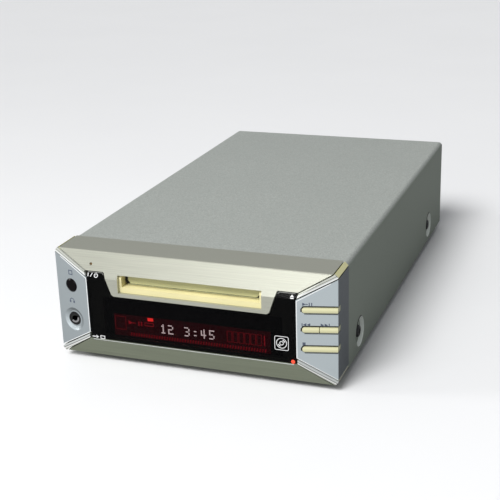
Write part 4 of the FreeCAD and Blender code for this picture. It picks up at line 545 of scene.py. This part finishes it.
def bar(x, z, width, height):
    """Rectangle from x to the right, with its middle at z."""
    return rect(x, x + width, z - height / 2, z + height / 2)


def arrow_head(x, z, width, height):
    """Triangle that points to the right, or to the left with a negative width."""
    return [(x, z - height / 2), (x + width, z), (x, z + height / 2)]


def disc(x, z, radius, steps=24):
    turns = (2 * math.pi * i / steps for i in range(steps))
    return [(x + radius * math.cos(a), z + radius * math.sin(a)) for a in turns]


def ring(x, z, outer, inner, start=0.0, end=360.0, steps=32):
    """Arc band as quads."""
    turns = [math.radians(start + (end - start) * i / steps) for i in range(steps + 1)]
    return [[(x + radius * math.cos(turn), z + radius * math.sin(turn))
             for radius, turn in ((outer, a), (outer, b), (inner, b), (inner, a))]
            for a, b in zip(turns, turns[1:])]


def box_line(x0, x1, z0, z1, width):
    """Outline of a rectangle, as four bars."""
    return [rect(x0, x1, z1 - width, z1), rect(x0, x1, z0, z0 + width),
            rect(x0, x0 + width, z0 + width, z1 - width), rect(x1 - width, x1, z0 + width, z1 - width)]


def rounded_line(x0, x1, z0, z1, radius, width):
    """Outline with rounded corners, as four bars and four arcs."""
    shapes = [rect(x0 + radius, x1 - radius, z0, z0 + width), rect(x0 + radius, x1 - radius, z1 - width, z1),
              rect(x0, x0 + width, z0 + radius, z1 - radius), rect(x1 - width, x1, z0 + radius, z1 - radius)]
    for x, z, start in ((x1 - radius, z1 - radius, 0), (x0 + radius, z1 - radius, 90),
                        (x0 + radius, z0 + radius, 180), (x1 - radius, z0 + radius, 270)):
        shapes += ring(x, z, radius, radius - width, start, start + 90, 6)
    return shapes


def moved(shapes, x, z):
    """Shapes drawn from a corner or middle of their own, put at x and z."""
    return [[(x + right, z + up) for right, up in shape] for shape in shapes]


def both_sides(shapes):
    return [[(side * x, z) for x, z in shape] for side in (-1, 1) for shape in shapes]


# ------------------------------------------------------------------------ wings
JACK_X, JACK_Z = JACK.middle()
PHONES_SIGN = (JACK_X - 0.4, JACK_Z + 10.2)
SENSOR_SIGN = (JACK_X, Reach("sensor_lens").middle()[1] + 7.0)
WING_TURNS = (14.3, 43.8)       # ends of a wing's upright inner edge
WING_END = HALF - 0.1           # prints on a wing stop short of its outer edge


def wing_edge_highlights():
    """Painted highlights on the edges of both wings: the upright inner one, the upper and the lower slanted
    one.
    """
    low, high = WING_TURNS
    upright = [(0.05, low), (0.45, low + 0.2), (0.45, high - 0.1), (0.05, high - 0.05)]
    upper = [(0.1, high), (0.25, high - 0.3), (16.25, high + 8.9), (16.2, high + 9.25)]
    end = WING_END - FACE_HALF
    lower = [(0.1, low), (0.2, low + 0.3), (end, WING.z0 + 0.45), (end, WING.z0 + 0.15)]
    edge_highlights = moved([upright, upper, lower], FACE_HALF, 0)
    print_on("wing_edge_highlights", on_wing, both_sides(edge_highlights), "painted_rim_highlight", lift=0.02)


def key_gap_shade():
    """Dark gaps round the wing keys, below, above and round the left end: thin real gaps, widened with
    painted shade.
    """
    gap_shade = []
    for name in ("play", "previous", "stop"):
        key = WING_KEYS[name]
        left, low, high = key.x0, key.z0 - 0.75, key.z1 + 0.35
        turn = high - 1.2
        gap_shade += [rect(left + 1.0, WING_END, low - 0.1, low + 0.25),
                  rect(left + 0.8, WING_END, high - 0.1, high + 0.4),
                  rect(left - 0.8, left - 0.3, low + 1.2, turn),
                  [(left - 0.8, turn), (left - 0.2, turn), (left + 0.8, high), (left + 0.8, high + 0.4),
                   (left + 0.1, high + 0.2)]]
    print_on("key_gap_shade", on_wing, gap_shade, "painted_shade_dark", lift=0.02)


def transport_signs():
    """Play and pause, previous, next and stop, each above the left end of its key."""
    play = [arrow_head(0, 0, 1.6, 1.7), bar(1.4, 0, 1.2, 0.4), bar(3.0, 0, 0.45, 1.6), bar(4.1, 0, 0.45, 1.6)]
    back = [bar(0, 0, 0.4, 1.6), arrow_head(2.2, 0, -1.6, 1.6), arrow_head(4.0, 0, -1.6, 1.6)]
    ahead = [arrow_head(0, 0, 1.6, 1.6), arrow_head(1.8, 0, 1.6, 1.6), bar(3.7, 0, 0.4, 1.6)]
    stop = [bar(0, 0, 1.4, 1.4)]
    signs = []
    for name, shapes, right, up in (("play", play, 0.1, 1.65), ("previous", back, -0.3, 1.25),
                                    ("next", ahead, 0.325, 1.15), ("stop", stop, 0.0, 1.45)):
        key = WING_KEYS[name]
        signs += moved(shapes, key.x0 + right, key.z1 + up)
    print_on("wing_marks", on_wing, signs, "mark_grey")


def left_wing_signs():
    """Square above the remote sensor, headphones above the jack."""
    square = moved(box_line(-1.3, 1.3, -1.3, 1.3, 0.5), *SENSOR_SIGN)
    print_on("sensor_mark", on_wing, square, "mark_grey")
    phones = ring(0, 0, 1.5, 1.1, 0, 180, 14)
    phones += [rect(-1.7, -0.7, -1.1, 0.1), rect(0.7, 1.7, -1.1, 0.1)]
    print_on("phones_mark", on_wing, moved(phones, *PHONES_SIGN), "mark_grey")


# ----------------------------------------------------------------------- window
LEFT_EAR = (-FACE_HALF, FACE_HIGH)
RIGHT_EAR = (FACE_HALF, FACE_HIGH)
LOWER_LEFT = (-FACE_HALF, FACE_LOW)
BADGE = (FACE_HALF - 7.6, FACE_LOW + 10.1)
RECORD_LAMP = (FACE_HALF - 1.9, FACE_LOW + 1.05)


def window_signs():
    """Power and eject on the ears, input at the lower left."""
    stroke = [(1.9, 0.2), (2.3, 0.2), (3.3, 2.1), (2.9, 2.1)]
    power = [rect(0.55, 1.0, 0.3, 2.0), stroke] + ring(5.2, 1.0, 1.1, 0.75, 125, 415, 24)
    power += [rect(5.02, 5.38, 1.1, 2.4)]
    roof = [(-3.1, 0.9), (-1.0, 0.9), (-1.6, 1.4), (-2.05, 2.0), (-2.5, 1.4)]
    eject = [roof, rect(-2.9, -1.2, 0.1, 0.6)]
    source = [rect(0.6, 3.1, 0.75, 1.3), arrow_head(2.9, 1.02, 1.5, 1.9)]
    source += box_line(5.2, 7.9, 0.1, 1.95, 0.42)
    signs = moved(power, *LEFT_EAR) + moved(eject, *RIGHT_EAR) + moved(source, *LOWER_LEFT)
    print_on("window_marks", on_window, signs, "mark_white")


def window_edge_highlights():
    """Painted highlights: glints on the top of the ears and a bright line on the edge below the window."""
    level = [(-8.5, 2.35), (-0.6, 2.35), (-0.5, 2.7), (-8.6, 2.7)]
    slant = [(-9.4, 1.6), (-9.15, 1.5), (-8.5, 2.35), (-8.6, 2.7)]
    ears = both_sides(moved([level, slant], *RIGHT_EAR))
    print_on("ear_glints", on_window, ears, "painted_ear_glint", lift=0.02)
    half = FACE_HALF - 1.3
    edge = [rect(-half, half, FACE_LOW - 0.45, FACE_LOW - 0.1)]
    print_on("lower_edge_highlight", on_lower, edge, "painted_rim_highlight", lift=0.02)


def disc_badge():
    """Plain pictogram: a disc with two glints in a rounded frame."""
    badge = rounded_line(-3.6, 3.6, -3.7, 3.7, 0.9, 0.3)
    badge += ring(0, 0, 2.75, 2.4, steps=36) + ring(0, 0, 1.1, 0.75, steps=20)
    badge += ring(0, 0, 2.0, 1.5, 20, 70, 8) + ring(0, 0, 2.0, 1.5, 200, 250, 8)
    print_on("disc_badge", on_window, moved(badge, *BADGE), "mark_white")


def record_lamp():
    print_on("record_lamp", on_window, [disc(*RECORD_LAMP, 1.0)], "lamp_red")


# ---------------------------------------------------------------------- display
PANEL_CORNER = (TUBE.x0 + 2.8, TUBE.z0 + 0.1)   # lower left, and what is lit is drawn from it
PANEL_WIDTH = 84.6
PANEL_HEIGHT = 11.8
COUNTER = "12 3:45"
DOT = 0.56
DOT_PITCH = 0.72
FIGURE_PITCH = 4.45
# Dot-matrix figures: seven rows, each one hexadecimal digit of four dots.
FIGURES = {"1": "2622227", "2": "e11e88f", "3": "e11611e", "4": "2aaaf22", "5": "f88e11e",
           ":": "0060060", " ": "0000000"}


def counter(left, top):
    """Lit dots of the counter."""
    dots = []
    for place, sign in enumerate(COUNTER):
        for row, code in enumerate(FIGURES[sign]):
            for column in range(4):
                if int(code, 16) >> (3 - column) & 1:
                    x = left + place * FIGURE_PITCH + column * DOT_PITCH
                    z = top - row * DOT_PITCH
                    dots.append(rect(x, x + DOT, z - DOT, z))
    return dots


def level_scale(left, low, high, count=52, pitch=1.42, width=0.38, lean=0.34):
    """Leaning ticks along the bottom of the display."""
    starts = (left + i * pitch for i in range(count))
    return [[(x, low), (x + width, low), (x + width + lean, high), (x + lean, high)] for x in starts]


def dim_signs():
    """Dim cells, frames, a small transport sign and a bar at the right end."""
    cells = []
    for i in range(6):
        left = 61.8 + i * 3.1
        cells += box_line(left, left + 2.6, 3.8, 9.6, 0.14)
    frames = box_line(17.1, 22.1, 6.8, 8.7, 0.3) + box_line(0.6, 6.6, 3.4, 10.6, 0.12)
    play = [arrow_head(8.1, 7.7, 2.4, 2.2), bar(10.4, 7.7, 1.6, 0.4), rect(13.6, 14.2, 6.5, 8.8),
            rect(15.1, 15.7, 6.5, 8.8)]
    return cells + frames + play + [rect(81.1, 81.6, 3.9, 9.4)]


def display():
    """What the lit tube shows behind the window."""
    tube = flat(TUBE.y0)
    panel = moved([rect(0, PANEL_WIDTH, 0, PANEL_HEIGHT)], *PANEL_CORNER)
    print_on("glow_panel", tube, panel, "glow_panel", lift=0.04)
    lit = {"glow_dim": level_scale(9.0, 0.5, 2.2) + dim_signs(),
           "glow_red": [rect(18.9, 22.0, 9.7, 11.4)],
           "glow_text": counter(25.6, 8.8)}
    for name, shapes in lit.items():
        print_on(name, tube, moved(shapes, *PANEL_CORNER), name, lift=0.1, sink=-0.05)


# ----------------------------------------------------------------------- screws
SIDE_SCREW = {"radius": 3.3, "height": 1.7, "shank": 2.0}
REAR_SCREW = {"radius": 2.8, "height": 1.7, "shank": 1.5}
SHANK_LENGTH = 6.0
SHANK_GAP = 0.01        # between the head's seat and the shank's end
# A head's outline, as shares of its radius and height.
HEAD_PROFILE = ((1.0, 0.0), (1.0, 0.55), (0.93, 0.82), (0.74, 1.0))
DISH_DEPTH = 2.0
DISH_RADIUS = 8.0


def side_dishes():
    """Side, y and z of the cover's four dishes, from the screws in them."""
    heads = Reach("side_screws")
    radius = SIDE_SCREW["radius"]
    z = heads.middle()[1]
    return [(side, y, z) for side in (-1, 1) for y in (heads.y0 + radius, heads.y1 - radius)]


def screw_point(centre, out, turn):
    """Function of x and y across a screw and rise along it, in metres; turn is in radians."""
    upright = Vector((0, 0, 1))
    across = upright.cross(out) * math.cos(turn) + upright * math.sin(turn)
    up = out.cross(across)
    return lambda x, y, rise: centre + across * x + up * y + out * rise


def loop(work, point, radius, rise, steps):
    turns = (2 * math.pi * i / steps for i in range(steps))
    return [work.verts.new(point(radius * math.cos(a), radius * math.sin(a), rise)) for a in turns]


def wall(work, low, high):
    """Faces between two loops with as many vertices."""
    for i, vertex in enumerate(low):
        j = (i + 1) % len(low)
        work.faces.new((vertex, low[j], high[j], high[i]))


def turned_head(work, point, radius, height):
    """Pan head with a cross recess."""
    rings = [loop(work, point, radius * share, height * rise, 36) for share, rise in HEAD_PROFILE]
    for low, high in zip(rings, rings[1:]):
        wall(work, low, high)
    work.faces.new(rings[0][::-1])
    recess = radius * 0.55
    arm = recess * 0.24
    outline = []
    for quarter in range(4):
        a = quarter * math.pi / 2
        for along, side in ((recess, -arm), (recess, arm), (arm, arm)):
            x = along * math.cos(a) - side * math.sin(a)
            y = along * math.sin(a) + side * math.cos(a)
            outline.append((x, y))
    mouth = [work.verts.new(point(x, y, height)) for x, y in outline]
    floor = [work.verts.new(point(x * 0.8, y * 0.8, height * 0.35)) for x, y in outline]
    wall(work, mouth, floor)
    work.faces.new(floor)
    edges = []
    for verts in (rings[-1], mouth):
        edges += [work.edges.get(pair) for pair in zip(verts, verts[1:] + verts[:1])]
    bmesh.ops.triangle_fill(work, use_beauty=True, edges=edges)


def turned_shank(work, point, radius):
    near, far = (loop(work, point, radius, -depth * MM, 16) for depth in (SHANK_GAP, SHANK_LENGTH))
    wall(work, near, far)
    work.faces.new(near)
    work.faces.new(far[::-1])


def screws(name, node, spots, finish, radius, height, shank):
    """Screws in place of a node's, each spot a centre and the direction that it looks."""
    work = bmesh.new()
    for index, (centre, out) in enumerate(spots):
        point = screw_point(centre, out, turn=0.4 + index * 0.7)
        turned_head(work, point, radius * MM, height * MM)
        turned_shank(work, point, shank * MM)
    obj = show(name, work, finish)
    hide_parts(node)
    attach(obj, "casing")


def casing_screws():
    floor = COVER.x1 - DISH_DEPTH
    sides = [(at(side * floor, y, z), Vector((side, 0, 0))) for side, y, z in side_dishes()]
    screws("side_screws_cross", "side_screws", sides, "screw_black", **SIDE_SCREW)
    heads = Reach("rear_screws")
    x, z = heads.x1 - REAR_SCREW["radius"], heads.middle()[1]
    rear = [(at(place, COVER.y1, z), Vector((0, 1, 0))) for place in (-x, 0.0, x)]
    screws("rear_screws_cross", "rear_screws", rear, "screw_steel", **REAR_SCREW)


# ----------------------------------------------------------------- cover's dishes
def dish_wall_highlight():
    """Lining on the walls of the dishes, far paler than the cover's paint: a painted highlight where the far
    wall catches the light.
    """
    profile = ((DISH_RADIUS - 0.03, 0.02), (7.3, 1.0), (6.72, 1.88))
    verts = []
    faces = []
    steps = 40
    for side, y, z in side_dishes():
        first = len(verts)
        for i in range(steps):
            a = 2 * math.pi * i / steps
            verts += [at(side * (COVER.x1 - depth), y + radius * math.cos(a), z + radius * math.sin(a))
                      for radius, depth in profile]
            here, there = first + 3 * i, first + 3 * ((i + 1) % steps)
            faces += [(here + k, there + k, there + k + 1, here + k + 1) for k in (0, 1)]
    piece("dish_wall_highlight", verts, faces, "painted_dish_highlight", smooth=True)


def dish_edge_shade():
    """Painted shade: a dark crescent at the upper front edge of each dish, where the rim is in shade."""
    verts = []
    faces = []
    steps = 18
    for side, y, z in side_dishes():
        first = len(verts)
        for i in range(steps + 1):
            a = math.radians(60 + 150 * i / steps)
            wide = 1.2 * math.sin(math.pi * i / steps) + 0.03
            verts += [at(side * (COVER.x1 + 0.03), y + radius * math.cos(a), z + radius * math.sin(a))
                      for radius in (DISH_RADIUS, DISH_RADIUS + wide)]
        faces += [(i, i + 2, i + 3, i + 1) for i in range(first, first + 2 * steps, 2)]
    piece("dish_edge_shade", verts, faces, "painted_shade_dark")


# ------------------------------------------------------------------------- ports
JACK_PRINT_Y = JACK.y0 - 0.085     # y of the painted shade and glint, just ahead of the phones jack's mouth
THROAT_HALF = 36.5              # half of the width that the flap shows in its opening
SHELL_RADIUS = 4.15


def jack_shade_and_glint():
    """Painted shade on the upper left of the phones jack's mouth, and a chrome crescent of its contact only
    where the glint falls, a painted glint.
    """
    face = flat(JACK_PRINT_Y)
    mouth_shade = ring(JACK_X, JACK_Z, 2.4, 1.7, 60, 215, 16)
    print_on("jack_mouth_shade", face, mouth_shade, "painted_shade_dark", lift=0.06)
    contact = ring(JACK_X, JACK_Z, 2.3, 1.35, -150, 20, 16)
    print_on("jack_glint", face, contact, "chrome", lift=0.06)


def flap_slit_shade():
    """Dark slits at the ends of the flap and along its lower edge: narrow real gaps, drawn wider and darker
    as painted shade.
    """
    low = FLAP.z0 + 0.35
    left = [rect(0, 1.5, 1.7, 5.3), [(1.5, 1.7), (0, 1.7), (0.5, 0.1), (2.9, 0)],
            [(2.9, 0), (2.5, 0.6), (1.5, 2.0), (1.5, 1.3)]]
    level = [rect(2.7 - THROAT_HALF, THROAT_HALF - 2.5, low - 0.05, low + 0.2)]
    right = [[(0, 3.3), (0, 0), (-3.3, 0), (-1.9, 0.8)]]
    slits = moved(left, -THROAT_HALF, low) + level + moved(right, THROAT_HALF, low)
    print_on("flap_slit_shade", flat(FLAP.y0), slits, "painted_slit_shade", body="slot_flap", lift=0.02)


def insulators():
    """Coloured rings in the line jacks: white for the left channel, red for the right."""
    shells = Reach("line_jack_shells")
    core = flat(Reach("line_jack_block").y1, out=1)
    left, right = shells.x0 + SHELL_RADIUS, shells.x1 - SHELL_RADIUS
    for tone, x in (("white", left), ("red", right)):
        rings = ring(x, shells.z1 - SHELL_RADIUS, 3.0, 1.75) + ring(x, shells.z0 + SHELL_RADIUS, 3.0, 1.75)
        print_on("insulators_" + tone, core, rings, "insulator_" + tone, lift=0.12)


for build in (wing_edge_highlights, key_gap_shade, transport_signs, left_wing_signs, window_signs, window_edge_highlights, disc_badge,
              record_lamp, display, casing_screws, dish_wall_highlight, dish_edge_shade, jack_shade_and_glint, flap_slit_shade, insulators):
    build()

# ------------------------------------------------------------------------- stage
SEEN = (0.74, 0.74, 0.745, 1.0)             # backdrop and floor, as the camera sees them
SEEN_LIGHT = (0.77, 0.77, 0.775, 1.0)
FLOOR_BOUNCE = (0.27, 0.27, 0.27, 1.0)      # floor, as it lights the deck
SKY = (0.282, 0.291, 0.3, 1.0)              # backdrop, as it lights the deck


def stage():
    bpy.ops.mesh.primitive_plane_add(size=8.0, location=(0, 0, 0))
    floor = bpy.context.object
    floor.name = "floor"
    s = Shader("floor_paper", FLOOR_BOUNCE, rough=0.9, specular=0.0)
    camera_ray = s.node("LightPath").outputs["Is Camera Ray"]
    s.base(s.blend(camera_ray, FLOOR_BOUNCE, s.blend(s.noise(6), SEEN, SEEN_LIGHT)))
    floor.data.materials.append(MATERIALS["floor_paper"])


def backdrop():
    world = bpy.data.worlds.new("studio")
    bpy.context.scene.world = world
    world.use_nodes = True
    tree = world.node_tree
    path = tree.nodes.new("ShaderNodeLightPath")
    mix = tree.nodes.new("ShaderNodeMix")
    mix.data_type = "RGBA"
    mix.inputs[6].default_value = SKY
    mix.inputs[7].default_value = SEEN
    tree.links.new(path.outputs["Is Camera Ray"], mix.inputs[0])
    background = tree.nodes["Background"]
    tree.links.new(mix.outputs[2], background.inputs["Color"])
    background.inputs["Strength"].default_value = 1.0


def lamp(name, kind, place, aim, power, glints, **settings):
    """A lamp at a place in metres; without glints it lights, but isn't mirrored."""
    data = bpy.data.lights.new(name, kind)
    data.energy = power
    for key, value in settings.items():
        setattr(data, key, value)
    obj = bpy.data.objects.new(name, data)
    obj.location = place
    obj.rotation_euler = (Vector(aim) - Vector(place)).to_track_quat("-Z", "Y").to_euler()
    obj.visible_glossy = glints
    bpy.context.scene.collection.objects.link(obj)


def sun(name, place, power, spread, glints=True):
    lamp(name, "SUN", place, (0, 0, 0), power, glints, angle=math.radians(spread))


def panel_lamp(name, place, aim, power, width, height, glints=True):
    lamp(name, "AREA", place, aim, power, glints, shape="RECTANGLE", size=width, size_y=height)


def lamps():
    sun("key", (-0.2, -0.75, 0.85), 2.4, spread=28, glints=False)
    sun("left_fill", (-1.0, -0.25, 0.35), 0.8, spread=12)
    sun("rear_fill", (-0.35, 1.0, 0.35), 0.5, spread=35, glints=False)
    panel_lamp("front_strip", (-0.2, -1.3, 0.5), (0.02, -0.13, 0.04), 1.6, 0.5, 0.35)
    panel_lamp("near_top", (-0.15, -0.5, 0.6), (0, -0.1, 0.05), 2.2, 0.4, 0.3, glints=False)


# The photograph's viewpoint, as fitted to the deck's edges.
PHOTO_SIDE = 500                # pixels
FOCAL_LENGTH = 1081.4           # pixels
SENSOR = 36.0
CAMERA_PLACE = (0.2015, -0.5882, 0.2422)
CAMERA_RIGHT = (0.93967439, 0.34084634, -0.02891048)
CAMERA_UP = (-0.08913301, 0.32557089, 0.94130702)
CAMERA_BACK = (0.33025346, -0.88194522, 0.33631128)


def camera():
    data = bpy.data.cameras.new("photo_view")
    data.sensor_width = SENSOR
    data.lens = FOCAL_LENGTH / PHOTO_SIDE * SENSOR
    turn = Matrix((CAMERA_RIGHT, CAMERA_UP, CAMERA_BACK)).transposed()
    cam = bpy.data.objects.new("photo_view", data)
    cam.matrix_world = Matrix.Translation(CAMERA_PLACE) @ turn.to_4x4()
    bpy.context.scene.collection.objects.link(cam)
    bpy.context.scene.camera = cam


stage()
backdrop()
lamps()
camera()
bpy.context.scene.view_settings.view_transform = "Standard"
